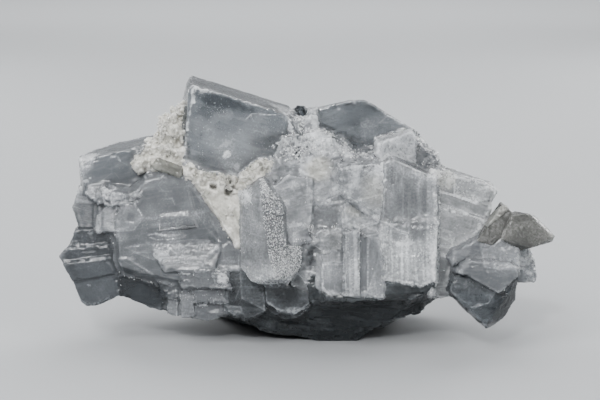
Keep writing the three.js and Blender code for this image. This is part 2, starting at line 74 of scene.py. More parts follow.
def soft_noise(points, size, seed):
    """Smooth noise from 0 to 1: random values on a cubic lattice of this size, eased between corners."""
    scaled = points / size + 1000.0
    low = np.floor(scaled)
    part = scaled - low
    part = part * part * (3.0 - 2.0 * part)
    total = np.zeros(len(points))
    for corner in np.ndindex(2, 2, 2):
        weight = np.prod(np.where(corner, part, 1.0 - part), axis=1)
        total += weight * lattice(low + corner, seed)
    return total


def layered_noise(points, size, seed, layers=3):
    """Soft noise added to itself at half the size and half the height, from 0 to 1."""
    total, height = 0.0, 1.0
    for layer in range(layers):
        total = total + height * soft_noise(points, size / 2**layer, seed + layer)
        height *= 0.5
    return total / (2.0 - 2.0 * height)


def patchy(points, size, seed, gain, less, layers=3):
    """Patches from 0 to 1: layered noise times a gain, less an amount."""
    return np.clip(gain * layered_noise(points, size, seed, layers) - less, 0, 1)


def ramp(values, start, end):
    """0 up to the start, 1 past the end and even in between. The end may be the lower of the two."""
    return np.clip((values - start) / (end - start), 0, 1)


def turned(across, up, away):
    """A crystal's own axes: turned about Z by across, about X by up and about Y by away, in degrees."""
    a, u, w = np.radians([across, up, away])
    about_z = np.array([[np.cos(a), -np.sin(a), 0], [np.sin(a), np.cos(a), 0], [0, 0, 1]])
    about_x = np.array([[1, 0, 0], [0, np.cos(u), -np.sin(u)], [0, np.sin(u), np.cos(u)]])
    about_y = np.array([[np.cos(w), 0, np.sin(w)], [0, 1, 0], [-np.sin(w), 0, np.cos(w)]])
    return about_z @ about_x @ about_y


# in bricks: over what length rows wander, by how much, and how far they are shifted at most
SWAY_REACH, SWAY, ROW_SHIFT = 5.0, 0.8, 7.0


def cleaved(points, axes, size, seed, tilt=0.5):
    """Cleavage relief about 0 to 1: space is cut into bricks along the crystal's axes, rows shifted
    against each other. Each brick has its own height, and its face leans its own way by up to tilt."""
    size = np.asarray(size, float)
    local = points @ axes / size
    sway = [soft_noise(points, SWAY_REACH * size.max(), seed + 11 + axis) for axis in range(3)]
    local = local + SWAY * np.stack(sway, axis=1)
    row = np.floor(local[:, 0])
    zeros = np.zeros(len(points))
    local[:, 1] += ROW_SHIFT * lattice(np.stack([row, zeros, zeros], axis=1), seed + 1)
    course = np.floor(local[:, 1])
    local[:, 2] += ROW_SHIFT * lattice(np.stack([row, course, zeros], axis=1), seed + 2)
    cell = np.stack([row, course, np.floor(local[:, 2])], axis=1)
    lean = np.stack([lattice(cell, seed + 4 + axis) - 0.5 for axis in range(3)], axis=1)
    return lattice(cell, seed + 3) + 2.0 * tilt * np.sum(lean * (local - cell - 0.5), axis=1)


def ribbed(points, direction, width, length, seed):
    """Growth lines from 0 to 1 that run across a direction: noise squeezed to this width along the
    direction and drawn out to this length the other ways."""
    along = points @ np.asarray(direction, float) / np.linalg.norm(direction)
    squeezed = points / length + np.outer(along / width, direction) / np.linalg.norm(direction)
    return layered_noise(squeezed, 1.0, seed, 2)


# Marks are placed as they are seen from the front and a little above, on an upright sheet at this depth.
EYE = np.array([-0.94, -403.3, 104.36])
SHEET_DEPTH = -17.4


def seen(points):
    """X and Z of each point on the sheet, after it slides there along its line to the eye."""
    share = (SHEET_DEPTH - EYE[1]) / (points[:, 1:2] - EYE[1])
    return EYE[[0, 2]] + share * (points[:, [0, 2]] - EYE[[0, 2]])


def blob(points, x, z, wide, tall, lean=0.0, ragged=0.5, edge=0.35):
    """1 inside an ellipse in the front view and 0 outside, with a soft, ragged edge. lean is in degrees,
    and its right end goes up."""
    turn = np.radians(lean)
    right, up = (seen(points) - (x, z)).T
    across = (right * np.cos(turn) + up * np.sin(turn)) / wide
    above = (up * np.cos(turn) - right * np.sin(turn)) / tall
    torn = ragged * (2.0 * layered_noise(points, min(wide, tall), 1) - 1.0)
    return np.clip((1.0 - np.hypot(across, above) + torn) / edge + 0.5, 0, 1)


def stroke(points, path, width, ragged=0.5):
    """1 on a path of (x, z) points in the front view and 0 beside it: distance to the nearest stretch,
    against a width that comes and goes with noise."""
    flat = seen(points)
    nearest = np.full(len(points), np.inf)
    for start, end in zip(np.asarray(path, float)[:-1], np.asarray(path, float)[1:]):
        share = np.clip((flat - start) @ (end - start) / np.sum((end - start) ** 2), 0, 1)
        nearest = np.minimum(nearest, np.linalg.norm(flat - start - share[:, None] * (end - start), axis=1))
    local = 0.6 * width * (1.0 + ragged * (4.0 * layered_noise(points, 1.2, 2) - 2.0))
    return np.clip(1.5 - nearest / np.maximum(local, 0.04), 0, 1)


def marks(points, *each):
    """Blobs and strokes added up. Each is a strength, then what blob or stroke takes after its points."""
    total = 0.0
    for strength, *shape in each:
        draw = stroke if isinstance(shape[0], list) else blob
        total = total + strength * draw(points, *shape)
    return total


def solid_faces(node):
    """A node's own points in mm, doubles merged, and its triangles."""
    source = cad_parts[node].data
    points = np.empty(len(source.vertices) * 3)
    source.vertices.foreach_get("co", points)
    corners = np.empty(len(source.loops), np.int64)
    source.loops.foreach_get("vertex_index", corners)
    points = 1000.0 * points.reshape(-1, 3)
    _, first, again = np.unique(np.round(points, 3), axis=0, return_index=True, return_inverse=True)
    triangles = again.reshape(-1)[corners].reshape(-1, 3)
    whole = np.all(triangles != np.roll(triangles, 1, axis=1), axis=1)
    return points[first], triangles[whole]


def even_skin(node, grain):
    """A node's surface rebuilt as an even closed skin of quads about grain wide: points and quads."""
    points, triangles = solid_faces(node)
    merged = bpy.data.meshes.new("merged")
    merged.from_pydata(points.tolist(), [], triangles.tolist())
    holder = bpy.data.objects.new("merged", merged)
    bpy.context.scene.collection.objects.link(holder)
    remesh = holder.modifiers.new("even skin", "REMESH")
    remesh.mode = "VOXEL"
    remesh.voxel_size = grain
    skin = holder.evaluated_get(bpy.context.evaluated_depsgraph_get()).to_mesh()
    points = np.empty(len(skin.vertices) * 3)
    skin.vertices.foreach_get("co", points)
    quads = np.empty(len(skin.loops), np.int64)
    skin.loops.foreach_get("vertex_index", quads)
    bpy.data.objects.remove(holder)
    bpy.data.meshes.remove(merged)
    return points.reshape(-1, 3), quads.reshape(-1, 4)


def outward(points, quads):
    """The unit normal at each point: the sum of its quads' diagonal cross products."""
    a, b, c, d = (points[quads[:, corner]] for corner in range(4))
    face = np.cross(c - a, d - b)
    total = np.stack(
        [np.bincount(quads.ravel(), np.repeat(face[:, axis], 4), len(points)) for axis in range(3)],
        axis=1,
    )
    return total / np.maximum(np.linalg.norm(total, axis=1, keepdims=True), 1e-9)


def averaged(values, quads, rounds):
    """Values at the points, one column or more, averaged with their neighbours a few times."""
    start, end = quads.ravel(), np.roll(quads, -1, axis=1).ravel()
    count = np.bincount(start, minlength=len(values)) + np.bincount(end, minlength=len(values))
    columns = values.reshape(len(values), -1)
    for _ in range(rounds):
        columns = np.stack(
            [
                np.bincount(start, column[end], len(values)) + np.bincount(end, column[start], len(values))
                for column in columns.T
            ],
            axis=1,
        ) / count[:, None]
    return columns.reshape(values.shape)


# A coarse map of the cluster: each cell remembers, one bit for each, which nodes' surfaces cross it.
MAP_CELL, MAP_MARGIN, MAP_DOTS_PER_MM2 = 0.5, 2.0, 30.0
MAP_CORNER = 1000.0 * np.array(cad_box[0]) - MAP_MARGIN
MAP_SHAPE = tuple(np.ceil((1000.0 * np.array(cad_box[1]) + MAP_MARGIN - MAP_CORNER) / MAP_CELL).astype(int))


def map_cells(points):
    """The flat index of each point's cell in the map."""
    cells = np.floor((points - MAP_CORNER) / MAP_CELL).astype(int)
    cells = np.clip(cells, 0, np.array(MAP_SHAPE) - 1)
    return np.ravel_multi_index(cells.T, MAP_SHAPE)


def strewn(points, triangles, per_mm2, rng):
    """Points strewn evenly over triangles: a triangle by its share of the area, then a place in it."""
    a, b, c = (points[triangles[:, corner]] for corner in range(3))
    area = np.linalg.norm(np.cross(b - a, c - a), axis=1) / 2.0
    pick = rng.choice(len(triangles), int(per_mm2 * area.sum()), p=area / area.sum())
    u, v = rng.random((2, len(pick), 1))
    u, v = np.where(u + v > 1, 1 - u, u), np.where(u + v > 1, 1 - v, v)
    return a[pick] + u * (b - a)[pick] + v * (c - a)[pick]


node_bits = {node: np.uint32(1 << place) for place, node in enumerate(sorted(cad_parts))}
cluster_map = np.zeros(np.prod(MAP_SHAPE), np.uint32)
for node, bit in node_bits.items():
    dots = strewn(*solid_faces(node), MAP_DOTS_PER_MM2, np.random.default_rng(1))
    spots = np.unique(map_cells(dots))
    cluster_map[spots] |= bit


# how far out in mm a skin feels for its neighbours, farthest first, and how near one has to be to touch
REACHES = (2.6, 2.2, 1.8, 1.3, 0.9, 0.5, 0.1)
TOUCHING = 1.5


def closeness(node, points, normals, quads):
    """Two values at each point: 1 where another node's surface lies just outside this one's, 0 where this
    one is open to the air and in between where the two meet; and how far off in mm the other one is."""
    others = ~node_bits[node]
    gap = np.full(len(points), np.inf)
    for reach in REACHES:
        gap[(cluster_map[map_cells(points + reach * normals)] & others) != 0] = reach
    near = averaged((gap < TOUCHING).astype(float), quads, 3)
    return near, averaged(np.where(gap <= REACHES[0], gap, 0.0), quads, 4)


def closed_piece(name, points, faces, material, slot, smooth=True, **attributes):
    """A finished mesh in metres that rides on the cluster, with its values at the points kept as
    attributes for the material."""
    mesh = bpy.data.meshes.new(name)
    mesh.vertices.add(len(points))
    mesh.vertices.foreach_set("co", (points / 1000.0).astype(np.float32).ravel())
    sides = faces.shape[1]
    mesh.loops.add(faces.size)
    mesh.loops.foreach_set("vertex_index", faces.astype(np.int32).ravel())
    mesh.polygons.add(len(faces))
    mesh.polygons.foreach_set("loop_start", np.arange(0, faces.size, sides, dtype=np.int32))
    mesh.polygons.foreach_set("use_smooth", np.full(len(faces), smooth))
    for key, values in attributes.items():
        kind, field = ("FLOAT", "value") if values.ndim == 1 else ("FLOAT_VECTOR", "vector")
        mesh.attributes.new(key, kind, "POINT").data.foreach_set(field, values.astype(np.float32).ravel())
    mesh.update(calc_edges=True)
    mesh.validate()
    piece = bpy.data.objects.new(name, mesh)
    bpy.context.scene.collection.objects.link(piece)
    mesh.materials.append(material)
    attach(piece, "root")


def linear(code):
    """An sRGB hex colour as linear RGBA."""
    parts = [int(code[at : at + 2], 16) / 255.0 for at in (1, 3, 5)]
    return (*[p / 12.92 if p <= 0.04045 else ((p + 0.055) / 1.055) ** 2.4 for p in parts], 1.0)


def add(tree, kind, inputs=None, **settings):
    """Adds one shader node, sets its properties, and links or sets its inputs."""
    made = tree.nodes.new(kind)
    for key, value in settings.items():
        setattr(made, key, value)
    for key, value in (inputs or {}).items():
        if isinstance(value, bpy.types.NodeSocket):
            tree.links.new(value, made.inputs[key])
        else:
            made.inputs[key].default_value = value
    return made


# the crust's warm cream, and the faint blue-grey that light takes on in clear barite
CREAM, BODY_TINT = "#cfccbb", "#b8c2c8"
GLITTER = 1.2  # how far the facets of full frost lean out of the surface


def barite(
    name, clear, milky, dark, haze, clarity, gloss, density, scatter=0.004, grit=0.2, dull=0.38,
):
    """Barite, natural crystal: clear to milky. Clouds and wisps of sealed fluid run along its cleavage,
    healed cracks show as thin pale lines, and rims and broken faces are frosted white, which on the
    rims is partly a painted highlight. It takes three tones, then how much cloud it holds, how much
    light it lets in, the roughness of a clean face, how fast light fades in it and how far light
    spreads, how deep its fine lines are, and the roughness of a frosted face. Its dark tone is partly
    the barite's own darker grey and partly painted shade in hollows and under the overhang."""
    made = bpy.data.materials.new(name)
    made.use_nodes = True
    tree = made.node_tree
    tree.nodes.clear()
    place = add(tree, "ShaderNodeTexCoord").outputs["Object"]
    frost = add(tree, "ShaderNodeAttribute", attribute_name="frost").outputs["Fac"]
    shade = add(tree, "ShaderNodeAttribute", attribute_name="shade").outputs["Fac"]
    cream = add(tree, "ShaderNodeAttribute", attribute_name="cream").outputs["Fac"]
    grown = add(tree, "ShaderNodeAttribute", attribute_name="grown").outputs["Vector"]

    def ranged(value, low, high, start, end):
        """The value's range from low to high, stretched to start and end."""
        return add(
            tree, "ShaderNodeMapRange",
            {"Value": value, "From Min": low, "From Max": high, "To Min": start, "To Max": end},
        ).outputs["Result"]

    def both(one, other, operation="ADD"):
        """Two values added or multiplied, kept from 0 to 1."""
        return add(
            tree, "ShaderNodeMath", {0: one, 1: other}, operation=operation, use_clamp=True,
        ).outputs[0]

    # clouds about 6 mm across; wisps 1 mm thick and 8 mm long; specks about 0.4 mm wide
    cloud = add(
        tree, "ShaderNodeTexNoise", {"Vector": place, "Scale": 160.0, "Detail": 4.0, "Roughness": 0.5},
    )
    drawn = add(tree, "ShaderNodeMapping", {"Vector": grown, "Scale": (0.13, 0.13, 0.8)}).outputs["Vector"]
    wisp = add(tree, "ShaderNodeTexNoise", {"Vector": drawn, "Scale": 1.0, "Detail": 4.0, "Roughness": 0.5})
    speck = add(tree, "ShaderNodeTexNoise", {"Vector": place, "Scale": 2400.0, "Detail": 2.0})
    # healed cracks: the flat walls of large cells, stretched along the cleavage
    walls = add(tree, "ShaderNodeMapping", {"Vector": grown, "Scale": (0.1, 0.1, 0.24)}).outputs["Vector"]
    crack = add(
        tree, "ShaderNodeTexVoronoi", {"Vector": walls, "Scale": 1.0, "Randomness": 0.8},
        feature="DISTANCE_TO_EDGE",
    )
    clouds = ranged(cloud.outputs["Fac"], 0.4, 0.72, 0.0, haze)
    wisps = ranged(wisp.outputs["Fac"], 0.5, 0.78, 0.0, haze)
    specks = ranged(both(speck.outputs["Fac"], cloud.outputs["Fac"], "MULTIPLY"), 0.3, 0.42, 0.0, 0.16)
    cracks = both(
        ranged(crack.outputs["Distance"], 0.0, 0.01, 0.14, 0.0),
        ranged(wisp.outputs["Fac"], 0.45, 0.6, 0.0, 1.0), "MULTIPLY",
    )
    # frost is granular: crumbs about 0.5 mm wide, some barer and some whiter
    crumb = add(
        tree, "ShaderNodeTexNoise", {"Vector": place, "Scale": 1900.0, "Detail": 2.0, "Roughness": 0.6},
    )
    crumbs = both(frost, ranged(crumb.outputs["Fac"], 0.36, 0.66, 0.75, 1.2), "MULTIPLY")
    milk = both(both(clouds, wisps), both(both(specks, cracks), crumbs))
    # sockets 6 and 7 of a mix node are its two colours
    white = add(
        tree, "ShaderNodeMix", {"Factor": milk, 6: linear(clear), 7: linear(milky)}, data_type="RGBA",
    )
    dim = add(
        tree, "ShaderNodeMix", {"Factor": shade, 6: white.outputs[2], 7: linear(dark)}, data_type="RGBA",
    )
    colour = add(
        tree, "ShaderNodeMix", {"Factor": cream, 6: dim.outputs[2], 7: linear(CREAM)}, data_type="RGBA",
    )
    # fine growth lines: 0.25 mm apart along the crystal and 1.7 mm long the other ways
    ruled = add(tree, "ShaderNodeMapping", {"Vector": grown, "Scale": (0.6, 0.6, 4.0)}).outputs["Vector"]
    fine = add(tree, "ShaderNodeTexNoise", {"Vector": ruled, "Scale": 1.0, "Detail": 4.0, "Roughness": 0.6})
    height = both(fine.outputs["Fac"], both(crumb.outputs["Fac"], frost, "MULTIPLY"))
    # frost glitters: cells about 0.4 mm wide each lean their own way, more where it is whiter
    cell = add(tree, "ShaderNodeTexVoronoi", {"Vector": place, "Scale": 2500.0})
    lean = add(
        tree, "ShaderNodeVectorMath", {0: cell.outputs["Color"], 1: (0.5, 0.5, 0.5)}, operation="SUBTRACT",
    )
    amount = add(tree, "ShaderNodeMath", {0: frost, 1: GLITTER}, operation="MULTIPLY").outputs[0]
    leaning = add(tree, "ShaderNodeVectorMath", {0: lean.outputs[0], "Scale": amount}, operation="SCALE")
    plain = add(tree, "ShaderNodeNewGeometry").outputs["Normal"]
    tilted = add(tree, "ShaderNodeVectorMath", {0: plain, 1: leaning.outputs[0]}, operation="ADD")
    facing = add(tree, "ShaderNodeVectorMath", {0: tilted.outputs[0]}, operation="NORMALIZE").outputs[0]
    bump = add(
        tree, "ShaderNodeBump", {"Height": height, "Strength": grit, "Distance": 0.0003, "Normal": facing}
    )
    surface = add(
        tree, "ShaderNodeBsdfPrincipled",
        {
            "Base Color": colour.outputs[2],
            "Transmission Weight": ranged(milk, 0.0, 0.9, clarity, 0.05),
            "Roughness": ranged(crumbs, 0.0, 0.8, gloss, dull),
            "Normal": bump.outputs["Normal"],
            "IOR": 1.64,
            "Subsurface Weight": 0.6,
            "Subsurface Radius": (1.0, 1.0, 1.0),
            "Subsurface Scale": scatter,
        },
    )
    inside = add(tree, "ShaderNodeVolumeAbsorption", {"Color": linear(BODY_TINT), "Density": density})
    add(
        tree, "ShaderNodeOutputMaterial",
        {"Surface": surface.outputs["BSDF"], "Volume": inside.outputs["Volume"]},
    )
    return made


Skin = namedtuple("Skin", "points normals near proud grain")
skins = []
# in mm: how far every skin stands out, and how high and wide crumbs are; then the share of a gap that
# a skin fills, and the frost along a joint, partly a pale seam and partly painted light that lifts the
# shade in the crevice
LIFT, CRUMB_HEIGHT, CRUMB_WIDTH = 0.12, 0.4, 0.8
GAP_SHARE, JOINT_FROST_AND_LIGHT = 0.3, 0.14


def crystal(name, node, grain, material, slot, axes, relief, rim=1.8, weld=1.0):
    """One crystal that stands for a node: the node's even skin of quads about grain mm wide, swollen a
    little to meet its neighbours along a ragged line and roughened by relief(points, normals, proud).
    That gives a dict of shift and fill in mm and of frost, shade and cream from 0 to 1, for each point
    or for all. The shift fades out where two crystals touch, but the fill does not. Rims are frosted by
    rim, partly as worn edges and partly as a painted highlight, and joints are swollen by weld and
    frosted along their line, partly a pale seam and partly painted light against the crevice's shade.
    Frosty places are crumbly."""
    points, quads = even_skin(node, grain)
    normals = outward(points, quads)
    proud = np.einsum("ij,ij->i", points - averaged(points, quads, 5), normals)
    near, gap = closeness(node, points, normals, quads)
    none = np.zeros(len(points))
    made = dict(fill=none, frost=none, shade=none, cream=none)
    made.update(relief(points, normals, proud))
    ragged = layered_noise(points, 1.3, 77)
    swell = LIFT + weld * averaged(near, quads, 6) * (0.4 + 0.6 * ragged)
    swell = swell + GAP_SHARE * weld * gap + made["fill"]
    moved = points + normals * (swell + (1.0 - near) * made["shift"])[:, None]
    # joints: partly the pale seam where crystals meet, partly painted light against the crevice's shade
    joint = np.sqrt(near) * np.clip(2.5 * ragged - 0.8, 0, 1)
    # rims: partly frost on worn, chipped edges, partly a painted highlight where light catches an edge
    rim_frost_and_highlight = rim * (1.0 - near) * np.maximum(proud - 0.03, 0)
    rim_frost_and_highlight = rim_frost_and_highlight * np.clip(2.4 * layered_noise(points, 1.8, 78) - 0.3, 0, 1.5)
    frost = np.clip(made["frost"] + rim_frost_and_highlight + JOINT_FROST_AND_LIGHT * joint, 0, 1)
    crumbly = averaged(np.clip(3.0 * frost - 1.6, 0, 1), quads, 2)
    crumbs = CRUMB_HEIGHT * crumbly * (soft_noise(points, CRUMB_WIDTH, 79) - 0.5)
    moved = moved + normals * crumbs[:, None]
    moved[:, 2] = np.maximum(moved[:, 2], 0.0)
    shade, cream = (np.clip(made[key] + none, 0, 1) for key in ("shade", "cream"))
    closed_piece(
        name, moved, quads, material, slot, frost=frost, shade=shade, cream=cream, grown=points @ axes,
    )
    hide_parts(node)
    skins.append(Skin(moved, normals, near, proud, grain))
    return skins[-1]


RIM_RISE = 0.08  # a place this many mm above the mean of its surroundings is a rim


def chipped(points, proud, size, depth, seed):
    """Small chips along the rims: negative, deepest where noise of this size peaks on a proud rim."""
    return -depth * patchy(points, size, seed, 4.0, 2.0, 1) * np.clip(proud / RIM_RISE, 0, 1)


# the finer bricks: their share of the height, how many times smaller they are, and their own seed
FINER_BRICKS = ((0.45, 2.7, 50), (0.2, 7.0, 90))


def stepped(points, axes, size, height, seed, tilt=0.5):
    """Broken surface in mm, about 0 and below: cleavage bricks of one size, and patches of finer ones."""
    size = np.asarray(size, float)
    patches = patchy(points, 8.0, seed + 5, 2.0, 0.3, 1)
    total = cleaved(points, axes, size, seed, tilt) - 1.0
    for share, times, own in FINER_BRICKS:
        total = total + share * patches * (cleaved(points, axes, size / times, seed + own, tilt) - 1.0)
    return height * total


# a small crystal: a box a little flatter one way, whose corners are pushed about by up to this share
BOX_CORNERS = (np.array(list(np.ndindex(2, 2, 2))) - 0.5) * (1.0, 0.8, 0.6)
CORNER_PUSH = 0.14
BOX_SIDES = np.array([[0, 1, 3, 2], [4, 6, 7, 5], [0, 4, 5, 1], [2, 3, 7, 6], [0, 2, 6, 4], [1, 5, 7, 3]])


OPEN = 0.7  # below this closeness a skin is open to the air


def picked(skin, weight, per_mm2, seed):
    """Numbers of the skin's open points, taken by chance: weight times this many in a square mm. A point
    stands for one grain squared of the skin."""
    chance = np.random.default_rng(seed).random(len(weight))
    return np.flatnonzero(chance < weight * (skin.near < OPEN) * per_mm2 * skin.grain**2)


def grains(name, seats, sizes, material, slot, seed, frost):
    """Small crystals as one joined mesh. Each is a box with its corners pushed about by chance, turned
    at random about its seat, and white by its own amount between the two of frost."""
    rng = np.random.default_rng(seed)
    count = len(seats)
    corners = BOX_CORNERS + rng.uniform(-CORNER_PUSH, CORNER_PUSH, (count, 8, 3))
    spin = rng.normal(size=(count, 4))
    w, x, y, z = (spin / np.linalg.norm(spin, axis=1, keepdims=True)).T
    turns = np.stack([
        1 - 2 * (y * y + z * z), 2 * (x * y - w * z), 2 * (x * z + w * y),
        2 * (x * y + w * z), 1 - 2 * (x * x + z * z), 2 * (y * z - w * x),
        2 * (x * z - w * y), 2 * (y * z + w * x), 1 - 2 * (x * x + y * y),
    ], axis=1).reshape(count, 3, 3)
    points = np.einsum("nij,nkj->nki", turns, corners) * sizes[:, None, None] + seats[:, None]
    quads = (BOX_SIDES[None] + 8 * np.arange(count)[:, None, None]).reshape(-1, 4)
    white = np.clip(rng.uniform(*frost, count), 0, 1)
    points = points.reshape(-1, 3)
    none = np.zeros(8 * count)
    closed_piece(
        name, points, quads, material, slot, smooth=False,
        frost=np.repeat(white, 8), shade=none, cream=none, grown=points,
    )


def sprinkled(name, skin, weight, per_mm2, seed, small, large, frost):
    """White druse grains from small to large in mm, seated on a skin's open points by chance."""
    chosen = picked(skin, weight, per_mm2, seed)
    sizes = np.random.default_rng(seed + 1).uniform(small, large, len(chosen))
    grains(name, skin.points[chosen], sizes, druse_barite, "frosted_barite", seed + 2, frost=frost)


clear_barite = barite(
    "barite_clear_grown_faces", "#abafb3", "#e6e8ea", "#4a4f54",
    haze=0.18, clarity=0.88, gloss=0.09, density=45.0,
)
druse_barite = barite(
    "barite_druse_sparkling", "#83888c", "#f8f9fa", "#858b8f",
    haze=0.2, clarity=0.4, gloss=0.05, density=30.0,
    scatter=0.0005, dull=0.12,
)

# the crystal's own axes, which its cleavage steps and its veils follow
TALL_AXES = turned(0, 0, 17)


def tall_relief(points, normals, proud):
    """The plate's skin: ribs on the top face, a barely stepped front, and the marks on that front."""
    front = np.clip(-3.0 * normals[:, 1] - 0.8, 0, 1)
    top = np.clip(3.0 * normals[:, 2] - 1.2, 0, 1)
    ribs = ribbed(points, (0, 1, 0), 0.9, 22.0, 5)
    corner = marks(points, (1, -23.6, 62.3, 1.7, 0.8, -15, 1.1), (1, -25.7, 60.6, 0.5, 1.9, 8, 1.1))
    right_end = blob(points, -4.2, 57.6, 3.2, 0.9, -24, 0.7)
    # the top and left rims: partly frosted chips, partly a painted highlight where light catches them
    rims = marks(points,
        (1, [(-25, 63.2), (-15, 60.0), (-8, 57.8)], 0.25, 1.0),
        (1.4, [(-25.4, 63.2), (-26.8, 56), (-27.8, 50.4), (-28.5, 44.2)], 0.35, 0.9),
    )
    arc = marks(points,
        (1, [(-13.4, 55.6), (-12.2, 56.7), (-9.6, 56.6), (-6.6, 56.5)], 0.2, 0.9),
        (1, [(-12.4, 56.4), (-11.8, 55.1)], 0.16, 0.9),
    )
    crumbs = marks(points,
        (1, -3.0, 54.0, 0.8, 1.6, 0, 1.1), (1.3, -4.4, 50.0, 2.0, 0.9, 20, 1.4),
        (1.3, -3.4, 48.2, 2.2, 2.0, 0, 1.1),
    )
    left = marks(points,
        (1, -27.9, 50.4, 0.45, 2.4, 4, 0.7), (0.8, -27.7, 45.2, 0.8, 0.9, 0, 0.9),
        (1, -28.1, 47.4, 0.5, 0.6, 0, 0.9), (1, -26.9, 52.8, 0.3, 0.4),
    )
    flake = blob(points, -18.0, 47.1, 1.05, 0.85, 15, 0.35, 0.2)
    faint = marks(points, (1, -15.6, 44.2, 0.8, 1.2, 0, 0.8), (1, -18.2, 49.7, 1.4, 0.8, 20, 1.3))
    foot = stroke(points, [(-28.4, 44.4), (-25.6, 42.4), (-22.6, 40.6), (-20, 40.4)], 0.5, 0.9)
    window = marks(points,
        (1, -18.6, 59.4, 7.0, 1.5, -15, 0.6, 0.8), (0.7, -21.6, 58.0, 3.2, 1.8, 0, 0.7, 0.9),
    )
    soft = patchy(points, 5.0, 6, 2.0, 0.6, 2)
    haze = ramp(seen(points)[:, 1], 53.0, 45.0)
    frost = 0.75 * corner + 0.8 * right_end + 0.35 * rims + 0.6 * arc + 0.7 * crumbs + 0.35 * left
    frost = frost + 0.5 * flake + 0.22 * faint + 0.3 * foot
    shift = stepped(points, TALL_AXES, (16, 13, 9), 0.06, 3) - 0.12 * top * ribs
    shift = shift + 0.2 * flake * front + chipped(points, proud, 1.1, 0.35, 7)
    return dict(
        shift=shift,
        frost=0.08 * soft + front * (frost + 0.1 * haze) + top * (0.12 * ribs + 0.35 * right_end),
        shade=0.8 * window * front + 0.18 + 0.3 * top * (1.0 - ribs) - 0.1 * haze * front,
    )


tall = crystal("tall_plate", "tall_crystal", 0.25, clear_barite, "clear_barite", TALL_AXES, tall_relief)

# white grains that dust the plate's front and crowd its corner and its right side
front = np.clip(-2.0 * tall.normals[:, 1], 0, 1)
crowd = 0.03 + marks(tall.points,
    (0.7, -21.6, 58.2, 3.6, 1.7, 0, 0.9, 0.9), (0.5, -3.6, 50.5, 1.8, 4.6, 0, 1.2, 0.9),
    (0.16, -18, 52, 9, 7, 0, 0.6, 1.5), (0.6, -24, 62, 2.6, 1.1, -17),
)
sprinkled("tall_dust", tall, front * crowd, 5.0, 21, 0.07, 0.2, (-0.3, 0.6))

# ---------------------------------------------------------------------------------------------------
# The two crystals behind: the broad clear block at the upper right, with a rounded top, and the small
# dark one in the notch between it and the tall plate.

TOP_AXES = turned(4, 3, -8)
# in mm: how far the edge of a flat patch strays, how far it fades, and how wide its bright border is
STRAY, FADE, BORDER = 0.3, 0.3, 0.16


def faceted(points, facets, seed):
    """Flat-sided patches in the front view, each given as (rise in mm, tone, edge tone, corners). Inside
    is the least distance to the sides, so every outline is convex. Returns the rise and the tone."""
    flat = seen(points)
    ragged = STRAY * (layered_noise(points, 1.4, seed) - 0.5)
    broken = patchy(points, 2.2, seed + 1, 3.0, 0.8)
    rise = np.zeros(len(points))
    tone = np.zeros(len(points))
    for height, inner, border, corners in facets:
        corners = np.array(corners, float)
        ends = np.roll(corners, -1, axis=0)
        spin = np.sign(np.sum(corners[:, 0] * ends[:, 1] - ends[:, 0] * corners[:, 1]))
        inside = np.full(len(points), np.inf)
        for start, end in zip(corners, ends):
            along = (end - start) / np.linalg.norm(end - start)
            off = along[0] * (flat[:, 1] - start[1]) - along[1] * (flat[:, 0] - start[0])
            inside = np.minimum(inside, spin * off)
        inside = inside + ragged
        within = np.clip(inside / FADE + 0.5, 0, 1)
        rise += height * within
        tone += inner * within + border * broken * np.clip(1.4 - np.abs(inside - 0.05) / BORDER, 0, 1)
    return rise, tone


def worn(points, proud, axes, size, height, seed, chip, depth, tilt=0.5):
    """Stepped plus chipped, in mm: bricks of this size and height, and chips of that size and depth."""
    return stepped(points, axes, size, height, seed, tilt) + chipped(points, proud, chip, depth, seed + 1)


def top_relief(points, normals, proud):
    """The block's skin: smooth, with faint upright growth lines, a soft dark spray and a milky strip."""
    rise, tone = faceted(points, [
        (0.12, 0.3, 0.25, [(-2.2, 50), (-2.2, 56), (0.6, 58.6), (3.3, 58.2), (2.9, 54.5), (2.5, 50)]),
    ], 30)
    spray = layered_noise(points, 2.4, 31) * marks(points,
        (1, 13.4, 56.2, 3.6, 2.6, 0, 0.9, 1.4), (0.7, 11.4, 53.4, 2.4, 1.4, 0, 1.2, 1.2),
    )
    spots = marks(points, (1, 11.7, 59.2, 0.45, 0.35), (1, 8.1, 57.8, 0.3, 0.3), (1, 16.7, 51.1, 0.3, 0.3))
    rim = stroke(points, [(3.6, 58.2), (9.6, 59.9), (14, 60.1), (19.8, 56.2), (25, 53.6)], 0.25, 0.8)
    lines = ribbed(points, (1, 0, 0), 0.8, 12.0, 32)
    shift = worn(points, proud, TOP_AXES, (18, 12, 11), 0.06, 13, 1.3, 0.35)
    return dict(
        shift=shift + rise - 0.03 * lines, frost=tone + 0.4 * spots + 0.3 * rim + 0.06 * lines,
        shade=0.34 + 0.5 * spray,
    )


crystal("top_right_block", "top_right_crystal", 0.27, clear_barite, "clear_barite", TOP_AXES, top_relief)

smoky_barite = barite(
    "barite_smoky_glassy", "#70757a", "#bfc3c6", "#30353a",
    haze=0.18, clarity=0.85, gloss=0.08, density=85.0,
)


def glassy_relief(points, normals, proud):
    """A small glassy crystal: nearly smooth, with a few chips."""
    return dict(
        shift=worn(points, proud, TOP_AXES, (3, 3, 2), 0.12, 15, 0.8, 0.2),
        shade=0.5 * layered_noise(points, 2.0, 17),
    )


crystal("notch_crystal", "small_back_crystal", 0.18, smoky_barite, "smoky_barite", TOP_AXES, glassy_relief)

# ---------------------------------------------------------------------------------------------------
# The upper left: a smooth grey block with a frosted corner and a bright cap edge, and the rough bright
# ledge, short columns and pale block that broke out below it.

clouded_barite = barite(
    "barite_clouded_massive", "#979b9f", "#dfe1e4", "#50555a",
    haze=0.16, clarity=0.65, gloss=0.18, density=42.0,
)
CAP_AXES = turned(-6, 6, -14)


